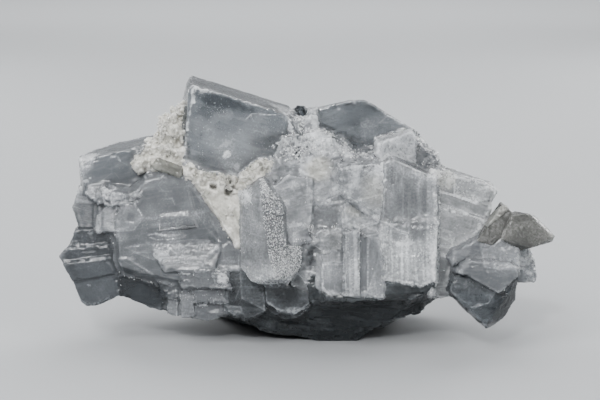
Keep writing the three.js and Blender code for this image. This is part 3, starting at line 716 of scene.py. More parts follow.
def cap_relief(points, normals, proud):
    """The block's skin: a frosted left corner, a bright growth line under its top edge and pale scars."""
    rise, tone = faceted(points, [
        (0.1, 0.08, 0.12, [(-54, 40), (-54, 46.4), (-49, 47.9), (-46.6, 46.6), (-49.6, 44), (-50.6, 40)]),
        (-0.1, -0.05, 0.1, [(-40.8, 44), (-36, 42.4), (-34, 37), (-41.4, 37.8)]),
    ], 20)
    corner = marks(points,
        (1, -50.2, 46.5, 2.2, 0.7, 14, 0.9), (0.5, -50.6, 44.6, 1.4, 1.6, 0, 0.8, 0.8),
        (0.5, -52.4, 44.0, 0.6, 2.2, 0, 0.9),
    )
    line = stroke(points, [(-50.4, 47.7), (-46, 49.1), (-43, 50.1), (-38.6, 50.9)], 0.26, 0.8)
    scars = marks(points,
        (1, [(-45, 46.5), (-43.6, 46.5), (-42.9, 45.4)], 0.2, 1.0), (1, -51.1, 40.8, 0.7, 0.4, 10, 0.9),
        (1, -50.2, 41.6, 0.35, 0.3),
    )
    lump = blob(points, -38.6, 45.8, 1.6, 1.5, -30, 0.5, 0.3)
    soft = patchy(points, 5.0, 22, 2.0, 0.6, 2)
    shift = worn(points, proud, CAP_AXES, (14, 12, 8), 0.1, 23, 1.3, 0.5)
    return dict(
        shift=shift + rise + 0.3 * lump,
        frost=0.06 * soft + tone + 0.5 * corner + 0.35 * line + 0.45 * scars + 0.6 * lump,
        shade=0.28,
    )


crystal("left_cap", "left_cap_crystal", 0.27, clouded_barite, "clear_barite", CAP_AXES, cap_relief, rim=1.2)

frosted_barite = barite(
    "barite_frosted_cleaved", "#7d8185", "#dfe1e4", "#464b50",
    haze=0.22, clarity=0.5, gloss=0.18, density=40.0,
    scatter=0.003, grit=0.6,
)
LEDGE_AXES = turned(-20, 8, 12)


def ledge_relief(points, normals, proud):
    """The ledge's skin: rough white shelf, upright ribs on the columns beside it, a pale block below."""
    rise, tone = faceted(points, [
        (0.25, 0.22, 0.25,
         [(-48.3, 32.5), (-46.6, 34.8), (-39.6, 35.2), (-37.8, 32), (-40.2, 29), (-48.3, 28.8)]),
        (-0.15, -0.16, 0.1, [(-45.2, 34.6), (-42.2, 34.2), (-42, 30.4), (-44.8, 30.6)]),
        (-0.1, -0.1, 0.1, [(-41.4, 33.6), (-39.8, 32.8), (-40.2, 31.4), (-41.8, 31.6)]),
        (0.1, 0.22, 0.2, [(-53.6, 35.6), (-53.2, 39.8), (-49.4, 39.8), (-49.2, 35.4)]),
        (0.3, 0.1, 0.4, [(-49.8, 38.4), (-49.2, 40.2), (-45, 40.4), (-43.8, 39), (-46.8, 38)]),
        (0.2, 0.16, 0.3, [(-47.6, 38.6), (-45.2, 38.8), (-43.4, 36), (-45.4, 34.8), (-46.8, 35)]),
        (0.3, 0.14, 0.4, [(-45.6, 38), (-42.6, 38.0), (-42.2, 35.6), (-45.2, 35.1)]),
        (0.1, 0.06, 0.4, [(-42.2, 37.8), (-38.6, 37.8), (-38.2, 36), (-42, 35.4)]),
    ], 40)
    shelf = marks(points, (1, -46.8, 37.4, 2.6, 2.4, 0, 0.9, 0.5), (1, -41.4, 36.6, 3.2, 0.9, 8, 0.9, 0.4))
    columns = blob(points, -51.5, 32.0, 3.8, 4.6, 0, 0.4, 0.5)
    scar = stroke(points, [(-44, 28.8), (-42, 29.2), (-40, 30)], 0.3, 0.8)
    ribs = ribbed(points, (1, 0, 0.2), 0.7, 9.0, 41)
    shift = stepped(points, LEDGE_AXES, (5, 4, 3), 0.16, 33) - 0.25 * columns * ribs
    shift = shift + shelf * 1.2 * (cleaved(points, LEDGE_AXES, (1.3, 1.3, 0.9), 42) - 0.7)
    glint = patchy(points, 0.8, 44, 4.0, 2.0)
    frost = 0.02 + tone + 0.4 * shelf * glint + columns * (0.4 * ribs - 0.16) + 0.3 * scar
    fill = 0.7 * blob(points, -48.6, 31.6, 1.1, 5.0, 0, 0.2, 0.4)
    shift = shift + rise + chipped(points, proud, 1.0, 0.5, 43)
    return dict(shift=shift, fill=fill, frost=frost, shade=0.25 * columns)


crystal(
    "left_ledge", "left_ledge_crystal", 0.22, frosted_barite, "frosted_barite", LEDGE_AXES, ledge_relief
)

# ---------------------------------------------------------------------------------------------------
# The far left stack: four cleaved layers, each a slab of clouded barite with its own ledge. Its outer
# end is rounded and bright, and its broken side is dark.

STACK_AXES = turned(-8, 3, -8)


def stack_relief(points, normals, proud):
    """The stack's skin: four slabs with bright lower edges, pale outer ends and a dark right side."""
    rise, tone = faceted(points, [
        (0.0, 0.05, 0.05, [(-56, 28.6), (-46.8, 29.2), (-46.2, 25.4), (-56.8, 24.6)]),
        (0.15, -0.06, 0.1, [(-58.6, 24.4), (-46.3, 25.3), (-45.9, 21.9), (-55, 20.9), (-59.4, 21.6)]),
        (0.22, 0.05, 0.1, [(-58, 20.8), (-46.8, 22.1), (-44.9, 19.1), (-50, 17.2), (-55, 16.8)]),
        (0.1, 0.04, 0.1, [(-55, 16.4), (-50, 16.9), (-45.3, 18.6), (-44.9, 12.6), (-54, 10)]),
        (-0.2, -0.06, 0.1, [(-46.2, 25.4), (-44.6, 24.6), (-41.6, 18.4), (-44.7, 18.6), (-46.2, 21.8)]),
    ], 50)
    ends = marks(points, (1, -58.4, 22.4, 1.6, 2.4, 20, 0.4, 1.0), (0.5, -54.6, 28.8, 2.0, 0.7, 0, 0.9))
    foot = stroke(points, [(-54, 12.4), (-52.4, 11.2), (-49, 11.2), (-46, 12.9)], 0.9, 0.6)
    spot = marks(points, (1, -51.0, 15.8, 0.5, 0.4), (1, -50.4, 28.4, 0.8, 0.5), (1, -43.9, 20.9, 0.3, 0.3))
    fine = ribbed(points, (1, 0, 0.2), 0.5, 6.0, 51)
    shift = worn(points, proud, STACK_AXES, (6, 6, 3), 0.16, 53, 1.1, 0.5) - 0.08 * fine
    return dict(
        shift=shift + rise, frost=0.06 + tone + 0.22 * ends + 0.25 * foot + 0.3 * spot + 0.1 * fine,
        shade=0.82 - 0.4 * ends,
    )


crystal("left_steps", "left_stack", 0.25, clouded_barite, "clear_barite", STACK_AXES, stack_relief, rim=0.5)

# ---------------------------------------------------------------------------------------------------
# The large slanted crystal of the left middle, with a darker face along the crust and a band of veils,
# and the steps, slabs and small cubes that cleaved off below it.

SLANT_AXES = turned(8, -10, -6)


def slant_relief(points, normals, proud):
    """The crystal's skin: broad flat facets above, layered slabs below, and a wavy veil between."""
    rise, tone = faceted(points, [
        (0.0, 0.02, 0.1,
         [(-41, 38), (-36, 43), (-28, 43.6), (-27.3, 41), (-23, 33), (-38, 31.6), (-39.6, 35.4)]),
        (0.25, 0.14, 0.25,
         [(-46, 33.4), (-44.6, 34.8), (-39.6, 35.2), (-37.8, 32), (-40.2, 29), (-46, 28.8)]),
        (-0.1, -0.12, 0.1, [(-41.4, 33.8), (-39.6, 33), (-40, 31), (-42, 31.2)]),
        (-0.2, -0.04, 0.15,
         [(-28.2, 42.8), (-25.5, 38), (-19.8, 30.2), (-20, 26.4), (-22.8, 29.4), (-26.4, 34.6)]),
        (0.0, 0.06, 0.2,
         [(-45, 26), (-38, 27), (-27, 26.8), (-22, 27.4), (-20.4, 24.6), (-24, 20.6), (-36, 22)]),
        (0.2, -0.05, 0.3,
         [(-45.4, 24.8), (-42, 22.6), (-39.8, 23.0), (-35.2, 22.3), (-34.4, 18.3), (-42.2, 18.2)]),
        (0.1, 0.02, 0.2, [(-34, 22.4), (-24.4, 22.8), (-23, 18.6), (-34, 18.2)]),
        (0.25, 0.04, 0.2,
         [(-19.3, 25.2), (-22.8, 23), (-22.4, 20), (-15.4, 19.8), (-15.2, 24.6), (-19.4, 27.4)]),
        (0.15, 0.14, 0.1, [(-20.3, 25), (-22.4, 23.5), (-21.6, 23.1)]),
    ], 60)
    veil = marks(points,
        (1, [(-36.6, 27.9), (-35.2, 28.3), (-33.6, 28), (-32.4, 27.5)], 0.4, 0.9),
        (1, [(-36.4, 27.4), (-34.8, 26.8), (-33.2, 26.9)], 0.25, 0.9),
    )
    band = blob(points, -27.6, 24.4, 6.4, 2.0, 6, 0.7, 0.9) * patchy(points, 1.3, 61, 3.0, 1.1)
    band = band + marks(points,
        (1, -34.0, 22.9, 1.6, 1.0, 0, 1.0, 0.6), (0.6, -40.9, 22.4, 1.2, 0.5, 0, 0.9),
    )
    lines = marks(points,
        (1, [(-32.6, 36.6), (-31, 36.7), (-30.4, 35.2)], 0.3, 0.9),
        (1, [(-37.8, 39), (-36.8, 39.2)], 0.35, 0.6), (1, [(-36.6, 42), (-35.6, 42)], 0.3, 0.9),
        (0.6, [(-34, 38.5), (-31.2, 38.4)], 0.3, 0.9), (1, [(-21.6, 19.3), (-18.4, 19.7)], 0.3, 0.9),
        (0.7, [(-39.8, 25.4), (-36.6, 26)], 0.3, 0.9),
    )
    dark = blob(points, -21.6, 26.8, 1.3, 0.7, -40, 0.3, 0.3)
    # a thin plate in the middle is almost level with the face around it
    plate = blob(points, -30.4, 30.8, 5.6, 2.9, -3, 0.1, 0.15)
    level = plate * np.minimum(points[:, 1] + 16.4, 0.0) * np.clip(-2.0 * normals[:, 1], 0, 1)
    fine = ribbed(points, SLANT_AXES[:, 2], 0.9, 9.0, 62)
    soft = patchy(points, 4.0, 66, 2.0, 0.6)
    shift = worn(points, proud, SLANT_AXES, (8, 6, 4), 0.09, 63, 1.2, 0.35, 0.4)
    shift = shift + rise + 0.5 * np.clip(band, 0, 1) * (layered_noise(points, 1.1, 65) - 0.5) - 0.03 * fine
    return dict(
        shift=shift, frost=0.03 + 0.1 * soft + tone + 0.4 * veil + 0.28 * band + 0.22 * lines,
        shade=0.14 + 0.4 * dark, fill=level,
    )


crystal("left_slant", "left_mass", 0.26, clouded_barite, "clear_barite", SLANT_AXES, slant_relief, rim=0.8)

STEP_AXES = turned(5, 4, 3)


def step_relief(points, normals, proud):
    """The steps' skin: a smooth darker face at the left, and small bricks, cubes and ledges beside it."""
    rise, tone = faceted(points, [
        (-0.1, 0.0, 0.2,
         [(-45.2, 18.2), (-33.5, 18.2), (-32.3, 14.5), (-33, 10), (-38, 10.8), (-45.2, 12.4)]),
        (0.1, 0.2, 0.3, [(-32.7, 8.6), (-32.5, 12.7), (-30.2, 12.3), (-30.2, 7.6)]),
        (0.1, 0.16, 0.25, [(-29.4, 14.5), (-26.4, 14.8), (-26, 8.3), (-29.6, 8)]),
        (0.2, 0.1, 0.25, [(-26, 14.5), (-15.5, 14.8), (-14.6, 12.6), (-17, 11), (-25.6, 11.2)]),
        (0.0, 0.03, 0.2, [(-25.6, 11), (-17.4, 10.8), (-19.5, 7.3), (-23, 6.3), (-26, 8.2)]),
        (0.2, 0.12, 0.2, [(-29.6, 15), (-29.6, 19), (-18, 19.6), (-17.4, 15)]),
        (0.15, 0.1, 0.2, [(-22, 18.6), (-18.2, 19.2), (-17.6, 15.6), (-20.6, 15.2)]),
    ], 70)
    sparks = marks(points,
        (1, -19.3, 17.2, 1.3, 1.5, 0, 1.2, 0.4), (1, -31.1, 16.1, 0.5, 0.6, 0, 0.9),
        (1, -27.9, 18.5, 0.8, 0.2), (1, -24.0, 10.9, 1.2, 0.3, 0, 0.9),
    )
    plain = blob(points, -39.0, 14.6, 6.6, 4.4, -10, 0.2, 0.3)
    layers = ribbed(points, (0, 0, 1), 0.55, 6.0, 71)
    bricks = 1.0 - 0.85 * plain
    shift = bricks * (stepped(points, STEP_AXES, (3.4, 3, 1.8), 0.4, 73, 0.6) - 0.15 * layers)
    return dict(
        shift=shift + rise + chipped(points, proud, 1.0, 0.5, 74),
        frost=tone + 0.7 * sparks + 0.14 * bricks * layers + 0.04, shade=0.4 + 0.6 * plain - 0.3 * sparks,
    )


steps = crystal(
    "lower_left", "lower_left_steps", 0.23, clouded_barite, "clear_barite", STEP_AXES, step_relief, rim=1.2
)
# sparks of druse lie along its top edge, and thinly below it
sparks = marks(steps.points,
    (1, -19.3, 17.2, 1.8, 2.0, 0, 1.2, 0.4), (1, -29.0, 18.4, 3.4, 0.8, 0, 1.2),
    (0.5, -24.0, 13.0, 5.0, 1.8, 0, 1.4),
)
sprinkled("lower_left_sparks", steps, sparks + 0.004, 3.0, 75, 0.1, 0.24, (-0.4, 1.2))

# ---------------------------------------------------------------------------------------------------
# The pointed prism in the middle: a smooth grey left face, a right face crowded with sparkling druse,
# and a plain pale rim at its foot.

PRISM_AXES = turned(-30, 0, 4)


def prism_relief(points, normals, proud):
    """The prism's skin: faint upright lines, paler towards its foot and scarred at its top."""
    foot = ramp(seen(points)[:, 1], 21.5, 17.5)
    scars = marks(points,
        (1, [(-14.2, 39.2), (-13.2, 37), (-12.1, 35.2)], 0.4, 0.8),
        (0.5, -13.6, 37.4, 1.4, 2.4, 0, 1.0, 0.6), (0.8, -9.4, 38.4, 0.9, 1.0, 40, 0.8),
    )
    lines = ribbed(points, (1, 0, 0), 0.7, 12.0, 81)
    shift = worn(points, proud, PRISM_AXES, (9, 9, 14), 0.1, 83, 1.2, 0.3) - 0.04 * lines
    bare = np.clip((seen(points)[:, 0] + 10.0) / 1.0, 0, 1) * (1.0 - foot)
    return dict(
        shift=shift, frost=0.24 + 0.2 * foot + 0.55 * scars + 0.08 * lines - 0.04 * bare, shade=0.15 * bare,
    )


prism = crystal(
    "prism", "central_prism", 0.22, clear_barite, "smoky_barite", PRISM_AXES, prism_relief
)
# its druse lies between a ridge and a brink, whose X is given for each Z, and is densest in its lower
# third; it doesn't climb round to the back
x, z = seen(prism.points).T
ridge = np.interp(z, [17, 20, 25, 30, 35, 40], [-7.0, -7.7, -8.7, -9.5, -9.9, -10.3])
brink = np.interp(z, [17, 18, 20, 25, 26, 27, 35, 39.6], [-6.6, -3.0, -0.9, -0.1, -2.6, -4.8, -5.0, -8.4])
druse = np.clip((x - ridge) / 0.4 + 0.3, 0, 1) * np.clip((brink - x) / 0.5 + 0.4, 0, 1)
druse = druse * (prism.normals[:, 1] < -0.15) * (z > 17.2)
druse = druse * (0.55 + 0.45 * np.clip((28.0 - z) / 4.0, 0, 1) + 0.3 * (z > 37))
sprinkled("prism_druse", prism, druse + 0.004, 15.0, 86, 0.1, 0.3, (-0.5, 2.4))

# ---------------------------------------------------------------------------------------------------
# The sugary crust: cream grains of late barite, in lumps between the cap and the tall plate, and in a
# long wedge beside the prism. Their edges are ragged, and the hollows and deep holes between the lumps
# are darkened with painted shade. A small greenish prism lies in the foot of the upper crust.

CRUST_AXES = turned(15, 20, 35)
# the crust's dark tone is used only as painted shade, in its hollows and deep holes
crust_barite = barite(
    "barite_sugary_crust", "#9b998e", "#f2f0e9", "#55544e",
    haze=0.3, clarity=0.15, gloss=0.25, density=20.0,
    scatter=0.002, grit=0.5,
)


def crust_relief(points, normals, proud):
    """The crust's skin: lumps of about 2.5 mm with hollows between them, smoother on the long wedge.
    The hollows and a few deep holes are darkened with painted shade.
    """
    rise, tone = faceted(points, [
        (-0.4, -0.25, 0.2, [(-17.3, 33), (-16.2, 34.2), (-15, 31.4), (-15.4, 30.2)]),
        (0.4, 0.1, 0.3, [(-15.2, 42.6), (-12, 45), (-10.8, 44.6), (-10.4, 40), (-15.2, 40.4)]),
    ], 90)
    high = ramp(seen(points)[:, 1], 35.0, 41.0)
    lumps = layered_noise(points, 2.6, 91, 4)
    shaded_hollow = np.clip(8.0 * (0.40 - layered_noise(points, 1.4, 95)), 0, 1) * (0.15 + 0.85 * high)
    shaded_voids = marks(points,
        (1, -17.2, 39.8, 1.5, 2.0, 10, 1.2, 0.4), (1, -21.2, 39.4, 1.0, 0.7, -40, 1.1, 0.4),
    )
    grey = blob(points, -38.6, 45.8, 2.0, 2.2, -30, 0.4, 0.5)
    return dict(
        shift=(0.7 + 3.0 * high) * (lumps - 0.55) - 0.5 * shaded_hollow - 1.2 * np.clip(shaded_voids, 0, 1) + rise,
        frost=0.45 + 0.55 * (lumps - 0.5) + 0.3 * high * lumps + tone - 0.2 * grey,
        # painted shade in the hollows and the deep holes
        shade=0.5 * shaded_hollow * high + 0.9 * np.clip(shaded_voids, 0, 1),
    )


for name, node in (("top_crust", "cream_crust_top"), ("wedge_crust", "cream_crust_wedge")):
    crust = crystal(name, node, 0.25, crust_barite, "cream_crust", CRUST_AXES, crust_relief)
    # fine and stout grains stand out of the lumps, and most of them on the upper crust
    high = np.clip((seen(crust.points)[:, 1] - 36.0) / 5.0, 0.12, 1)
    bare = np.clip(6.0 * (0.42 - layered_noise(crust.points, 1.4, 95)), 0, 1)
    clump = patchy(crust.points, 2.2, 94, 3.0, 1.0)
    rough = (1.0 - bare) * clump * high
    fine = picked(crust, rough, 5.0, 96)
    stout = picked(crust, rough, 1.6, 99)
    rng = np.random.default_rng(97)
    chosen = np.concatenate([fine, stout])
    sizes = np.concatenate([rng.uniform(0.15, 0.4, len(fine)), rng.uniform(0.4, 0.9, len(stout))])
    lifted = crust.points[chosen] + 0.15 * sizes[:, None] * crust.normals[chosen]
    grains(name + "_grains", lifted, sizes, crust_barite, "cream_crust", 98, frost=(0.2, 1.0))


def greenish_relief(points, normals, proud):
    """The little prism lies half sunk: smooth, with a faint warm tint."""
    return dict(
        shift=0.7 + worn(points, proud, CRUST_AXES, (3, 2, 2), 0.12, 25, 0.8, 0.2),
        frost=0.12 + 0.12 * layered_noise(points, 1.2, 27), cream=0.45,
    )


crystal(
    "little_prism", "crust_prism", 0.18, smoky_barite, "smoky_barite", CRUST_AXES, greenish_relief, weld=0.3
)

# ---------------------------------------------------------------------------------------------------
# The frosty mass in the middle: a fused, white knot of barite with small pitted hollows darkened by
# painted shade, a warm spot, a smooth bluish face, and a wedge with a sharp bright lower edge. Shaded
# pocket faces lie below it.

KNOT_AXES = turned(10, 12, -20)


def knot_relief(points, normals, proud):
    """The knot's skin: milky facets of slightly different tone, small pitted hollows and bright broken
    edges. Painted shade darkens the hollows and a shadow patch, and painted light lifts a steep facet.
    """
    rise, tone = faceted(points, [
        (0.1, 0.0, 0.08, [(-5.4, 26.6), (-5.2, 37), (-8.4, 40.6), (-4.4, 42.8), (0.8, 42.2), (0.4, 26.6)]),
        (0.3, 0.2, 0.3, [(-0.6, 49), (0.4, 53.4), (6.4, 51.6), (7, 48), (3, 46.8)]),
        (0.0, -0.1, 0.15, [(6.4, 45.6), (9.6, 44.8), (9.8, 39.6), (6.2, 40.2)]),
        (-0.1, -0.12, 0.2, [(-4.8, 44.6), (-0.8, 44.2), (0.2, 42.6), (-4.2, 43.0)]),
        (0.2, 0.12, 0.3, [(9.9, 44.4), (18.4, 45), (19.4, 40.5), (18.8, 36), (18.2, 32.6), (10.8, 37.2)]),
        (0.1, 0.05, 0.2, [(0.6, 42.2), (5.8, 42.8), (6.2, 39.0), (5, 34.6), (0.8, 35.4)]),
        (0.1, 0.14, 0.2, [(-9.6, 46.4), (-9, 47.6), (-6.4, 47.2), (-5.4, 44.6), (-8, 42.8)]),
    ], 100)
    shaded_pits = patchy(points, 0.7, 101, 12.0, 7.2, 2)
    pitted = marks(points, (1, 14.6, 45.8, 4.6, 1.7, 8, 0.4, 0.9), (0.7, -1.6, 48.4, 2.6, 2.6, 0, 0.8, 0.9))
    warm = marks(points, (1, 3.8, 44.0, 2.8, 2.6, 0, 0.4, 0.6), (0.5, 16.4, 38.6, 2.6, 3.2, 0, 0.6, 0.9))
    edge = marks(points,
        (1, [(4.8, 34.8), (8, 35.2), (10.4, 37.0), (12.6, 35.8)], 0.3, 0.6),
        (1, [(18.2, 45), (19.1, 40.5), (18.6, 36), (18.1, 33)], 0.25, 0.6),
    )
    arc = stroke(points, [(-1.2, 43.8), (0.2, 42.6), (2.2, 41.9), (3.6, 41.0)], 0.3, 0.7)
    # a steep facet whose shade is lifted with painted light
    steep_facet_light = blob(points, 8.0, 41.8, 1.6, 3.6, 0, 0.4, 0.5)
    glare = marks(points,
        (1, 17.8, 44.6, 0.5, 0.5), (1, -0.6, 43.2, 0.6, 0.3, -30), (1, 5.7, 36.2, 0.5, 0.2),
    )
    shadow = blob(points, 14.2, 42.0, 0.9, 1.7, 25, 0.9, 0.9)
    white = patchy(points, 2.4, 106, 3.0, 1.2)
    upper = ramp(seen(points)[:, 1], 42.0, 46.0)
    lumps = layered_noise(points, 2.0, 104, 4) - 0.6
    shift = stepped(points, KNOT_AXES, (6, 5, 4), 0.3, 103, 0.6) + 0.7 * upper * lumps
    shift = shift - 0.8 * shaded_pits * pitted + chipped(points, proud, 1.1, 0.3, 105)
    return dict(
        shift=shift + rise, fill=1.1 * blob(points, -0.6, 26.6, 2.6, 1.2, 0, 0.3, 0.5),
        frost=0.14 + 0.34 * white + 0.25 * white * upper + tone + 0.3 * edge + 0.35 * arc + 0.5 * glare
        + 0.25 * steep_facet_light - 0.8 * shaded_pits * pitted,
        # painted shade in the pitted hollows, and a painted shadow
        shade=0.9 * shaded_pits * pitted + 0.35 * shadow, cream=0.4 * warm,
    )


knot = crystal("knot", "frosty_wedge", 0.24, frosted_barite, "frosted_barite", KNOT_AXES, knot_relief)
# stout grains crowd its upper part, twice as many at its left
x, z = seen(knot.points).T
upper = np.clip((z - 45.0) / 4.0, 0, 1) * patchy(knot.points, 2.0, 107, 3.0, 1.0)
sprinkled("knot_grains", knot, 0.8 * upper * (1.0 + (x < 0)) + 0.01, 4.0, 108, 0.15, 0.55, (0.4, 1.0))

POCKET_AXES = turned(-12, 10, 8)


def pocket_relief(points, normals, proud):
    """The pocket faces: grey and greenish facets with bright broken spots between them."""
    rise, tone = faceted(points, [
        (-0.1, 0.0, 0.15, [(0.6, 29.6), (1.2, 35), (9.2, 35.2), (9.4, 30.6)]),
        (0.1, 0.16, 0.3, [(0.2, 26.8), (4, 29), (8.6, 29.6), (9.8, 27), (9.6, 22), (4, 24.4)]),
        (0.2, 0.06, 0.2, [(2.8, 21.2), (3.4, 23.6), (6, 24.4), (8.2, 22.8), (8.2, 20.6)]),
        (-0.2, -0.1, 0.2, [(0, 24.6), (-0.8, 22), (0.8, 20.4), (3, 21), (2.4, 24.2)]),
        (0.1, 0.18, 0.4, [(-1.8, 19), (0, 19.8), (4.2, 19), (4.2, 16.8), (0.4, 16.6)]),
    ], 110)
    spots = marks(points,
        (1, 1.4, 29.4, 0.9, 0.6, 0, 0.8, 0.3), (1, 2.6, 23.2, 0.55, 0.3, 20, 0.9, 0.3),
        (0.8, 2.6, 17.8, 1.5, 0.5, 0, 1.1, 0.5), (0.6, 9.0, 30.2, 1.4, 0.8, 20, 1.0),
    )
    green = marks(points, (1, 5.4, 22.6, 2.8, 1.6, 0, 0.2, 0.5), (0.5, 7.6, 26.6, 1.8, 2.4, 0, 0.3, 0.6))
    shift = worn(points, proud, POCKET_AXES, (4, 4, 3), 0.25, 113, 1.0, 0.3, 0.7)
    fill = marks(points,
        (0.9, 0.8, 26.4, 2.2, 1.4, 0, 0.5, 0.8), (0.9, 2.6, 27.6, 1.0, 1.0, 0, 0.5, 0.8),
        (0.7, 0.2, 22.0, 1.4, 4.0, 0, 0.3, 0.5),
    )
    return dict(shift=shift + rise, fill=fill, frost=0.16 + tone + 0.8 * spots, cream=0.14 * green)


pockets = crystal(
    "pockets", "pocket_crystals", 0.25, clear_barite, "smoky_barite", POCKET_AXES, pocket_relief
)

# clusters of tiny glittering crystals on the pocket faces and on the brink of the knot above them
seats = np.concatenate([pockets.points, knot.points])
facing = np.concatenate([pockets.normals, knot.normals])[:, 1] < 0.2
cluster = marks(seats,
    (1, 1.4, 29.4, 0.9, 0.8, 0, 0.7), (1, 2.8, 23.2, 0.7, 0.35, 15, 0.7),
    (0.7, 2.6, 17.7, 2.0, 0.4, 0, 1.0), (0.5, 7.4, 30.2, 2.4, 0.4, 15, 1.2),
    (0.7, -1.2, 26.5, 1.6, 0.6, 0, 0.9),
)
seats = seats[facing & (np.random.default_rng(115).random(len(seats)) < 0.5 * cluster)]
sizes = np.random.default_rng(116).uniform(0.12, 0.32, len(seats))
grains("pocket_sparkles", seats, sizes, druse_barite, "frosted_barite", 117, frost=(0.4, 1.8))

# ---------------------------------------------------------------------------------------------------
# Right of the middle: three upright columns that overhang the underside, and the tall block beside
# them, dark and smooth above, frosted and ribbed below. Both broke along upright cleavage.

COLUMN_AXES = turned(4, 0, 91)


def column_relief(points, normals, proud):
    """The columns' skin: a smooth block, a glittering ribbed column and a darker flat one, pale feet."""
    rise, tone = faceted(points, [
        (0.0, -0.06, 0.3, [(4.4, 20.8), (9.7, 20.8), (9.8, 14), (6, 13.8), (4.4, 15.2)]),
        (0.1, 0.1, 0.2, [(9.8, 28.6), (13.3, 29), (13.3, 12.8), (9.8, 12.8)]),
        (-0.3, -0.2, 0.1, [(13.5, 27.4), (15.0, 27.4), (15.0, 14.2), (13.5, 14.2)]),
        (-0.1, -0.08, 0.2, [(15.1, 27.4), (17.8, 26), (17.2, 19.6), (15.1, 14.2)]),
        (0.1, 0.06, 0.3, [(8.6, 28), (9.6, 35.6), (12, 36), (17.4, 31.4), (17.6, 28.4), (13.6, 29.6)]),
        (0.1, -0.05, 0.4, [(13.4, 30.4), (17.6, 28.6), (17.8, 27), (13.8, 27.6)]),
    ], 120)
    ribs = ribbed(points, (1, 0.4, 0.03), 0.6, 14.0, 121)
    foot = ramp(seen(points)[:, 1], 14.2, 13.6)
    left = stroke(points, [(4.5, 18), (4.4, 15.2), (5.8, 14), (8.2, 13.2)], 0.35, 0.6)
    glitter = marks(points, (1, 11.4, 21.0, 1.9, 8.0, 0, 0.5, 0.6), (1, 10.8, 30.0, 1.6, 1.2, 0, 0.8, 0.6))
    yellow = blob(points, 11.6, 33.6, 1.6, 1.2, -30, 0.5, 0.7)
    shift = worn(points, proud, COLUMN_AXES, (5, 3, 3), 0.2, 123, 1.0, 0.6, 0.5) + rise
    shift = shift - (0.1 + 0.3 * glitter) * ribs
    frost = 0.16 + tone + 0.12 * ribs + 0.4 * glitter * np.clip(3 * ribs - 1.2, 0, 1)
    return dict(shift=shift, frost=frost + 0.1 * foot + 0.15 * left, cream=0.2 * yellow)


def block_relief(points, normals, proud):
    """The block's skin: a smooth bluish face with soft stripes above, upright ribs and bricks below."""
    rise, tone = faceted(points, [
        (-0.1, -0.08, 0.1, [(20.2, 44.8), (21.9, 44.4), (21.4, 40), (20.2, 39.8)]),
        (0.1, 0.1, 0.2, [(17.4, 30.6), (19.8, 30), (19.6, 18), (17.6, 18.6)]),
        (-0.2, -0.1, 0.3, [(20.4, 29.2), (24.4, 28.0), (24.6, 25.6), (20.6, 26.4)]),
        (0.1, 0.14, 0.1, [(29.0, 44), (31.4, 44), (31.4, 15.4), (28.8, 15.4)]),
        (-0.3, -0.3, 0.4, [(19.3, 16), (22, 16.3), (24, 15.6), (31, 15.4), (31, 12.6), (19.3, 14)]),
    ], 130)
    lower = np.clip((25.5 - seen(points)[:, 1] + 10.0 * layered_noise(points, 2.6, 131)) / 6.0, 0, 1)
    ribs = ribbed(points, (1, 0.3, 0.03), 0.55, 10.0, 132)
    stripes = marks(points,
        (1, [(20.4, 45), (24, 43.4), (27, 42.4)], 0.5, 0.9), (1, [(21.6, 43.6), (25.4, 42)], 0.4, 0.9),
    )
    seam = stroke(points, [(18, 31.2), (20.4, 30.2), (22, 29.3), (24.6, 28.4)], 0.25, 0.6)
    dark = marks(points, (1, 22.4, 30.8, 2.6, 0.8, -10, 0.6, 0.8), (0.6, 28.4, 38.6, 1.0, 1.2, 0, 0.6, 0.9))
    streaks = np.clip(3.0 * ribs - 1.2, 0, 1) * lower
    bits = marks(points, (1, 24.0, 26.0, 1.6, 0.8, 0, 1.3, 0.4), (1, 27.2, 29.6, 1.0, 0.5, 0, 1.3, 0.4))
    soft = patchy(points, 4.0, 136, 2.0, 0.6)
    shift = (0.05 + 0.2 * lower) * stepped(points, COLUMN_AXES, (3, 4, 4), 1.0, 133, 0.5)
    shift = shift - (0.03 + 0.13 * lower) * ribs + chipped(points, proud, 1.0, 0.5, 134) + rise
    shift = shift + 0.5 * stroke(points, [(18.6, 30.8), (30.2, 30.8)], 1.4, 0.7)
    frost = 0.14 + 0.14 * soft + tone + 0.12 * stripes + 0.3 * seam
    frost = frost + lower * (0.16 + 0.1 * ribs) + 0.3 * streaks * ribs
    fill = 0.7 * np.clip(3.0 * normals[:, 0] - 1.0, 0, 1) * (points[:, 0] > 28.5)
    return dict(shift=shift, fill=fill, frost=frost + 0.3 * bits, shade=0.25 * dark + 0.2 * bits)


for name, node, material, slot, relief in (
    ("columns", "lower_columns", frosted_barite, "frosted_barite", column_relief),
    ("tall_block", "right_block", clear_barite, "clear_barite", block_relief),
):
    skin = crystal(name, node, 0.22, material, slot, COLUMN_AXES, relief)
    # small glittering grains sit along seven upright lines, 0.5 mm wide
    x, z = seen(skin.points).T
    upright = (10.2, 11.4, 13.0, 18.4, 19.6, 25.6, 30.0)
    lines = sum(np.clip(1.3 - np.abs(x - at) / 0.25, 0, 1) for at in upright)
    glints = patchy(skin.points, 2.0, 138, 3.0, 1.2) * lines * (z < 31)
    sprinkled(name + "_sparkles", skin, glints + 0.02 * (z < 32), 5.0, 135, 0.12, 0.34, (0.4, 1.0))

# ---------------------------------------------------------------------------------------------------
# The right shoulder: a pale milky block, and beside it a rough slope of broken barite full of small
# hollows, darkened with painted shade, and white grains.

SHOULDER_AXES = turned(-10, 8, 20)


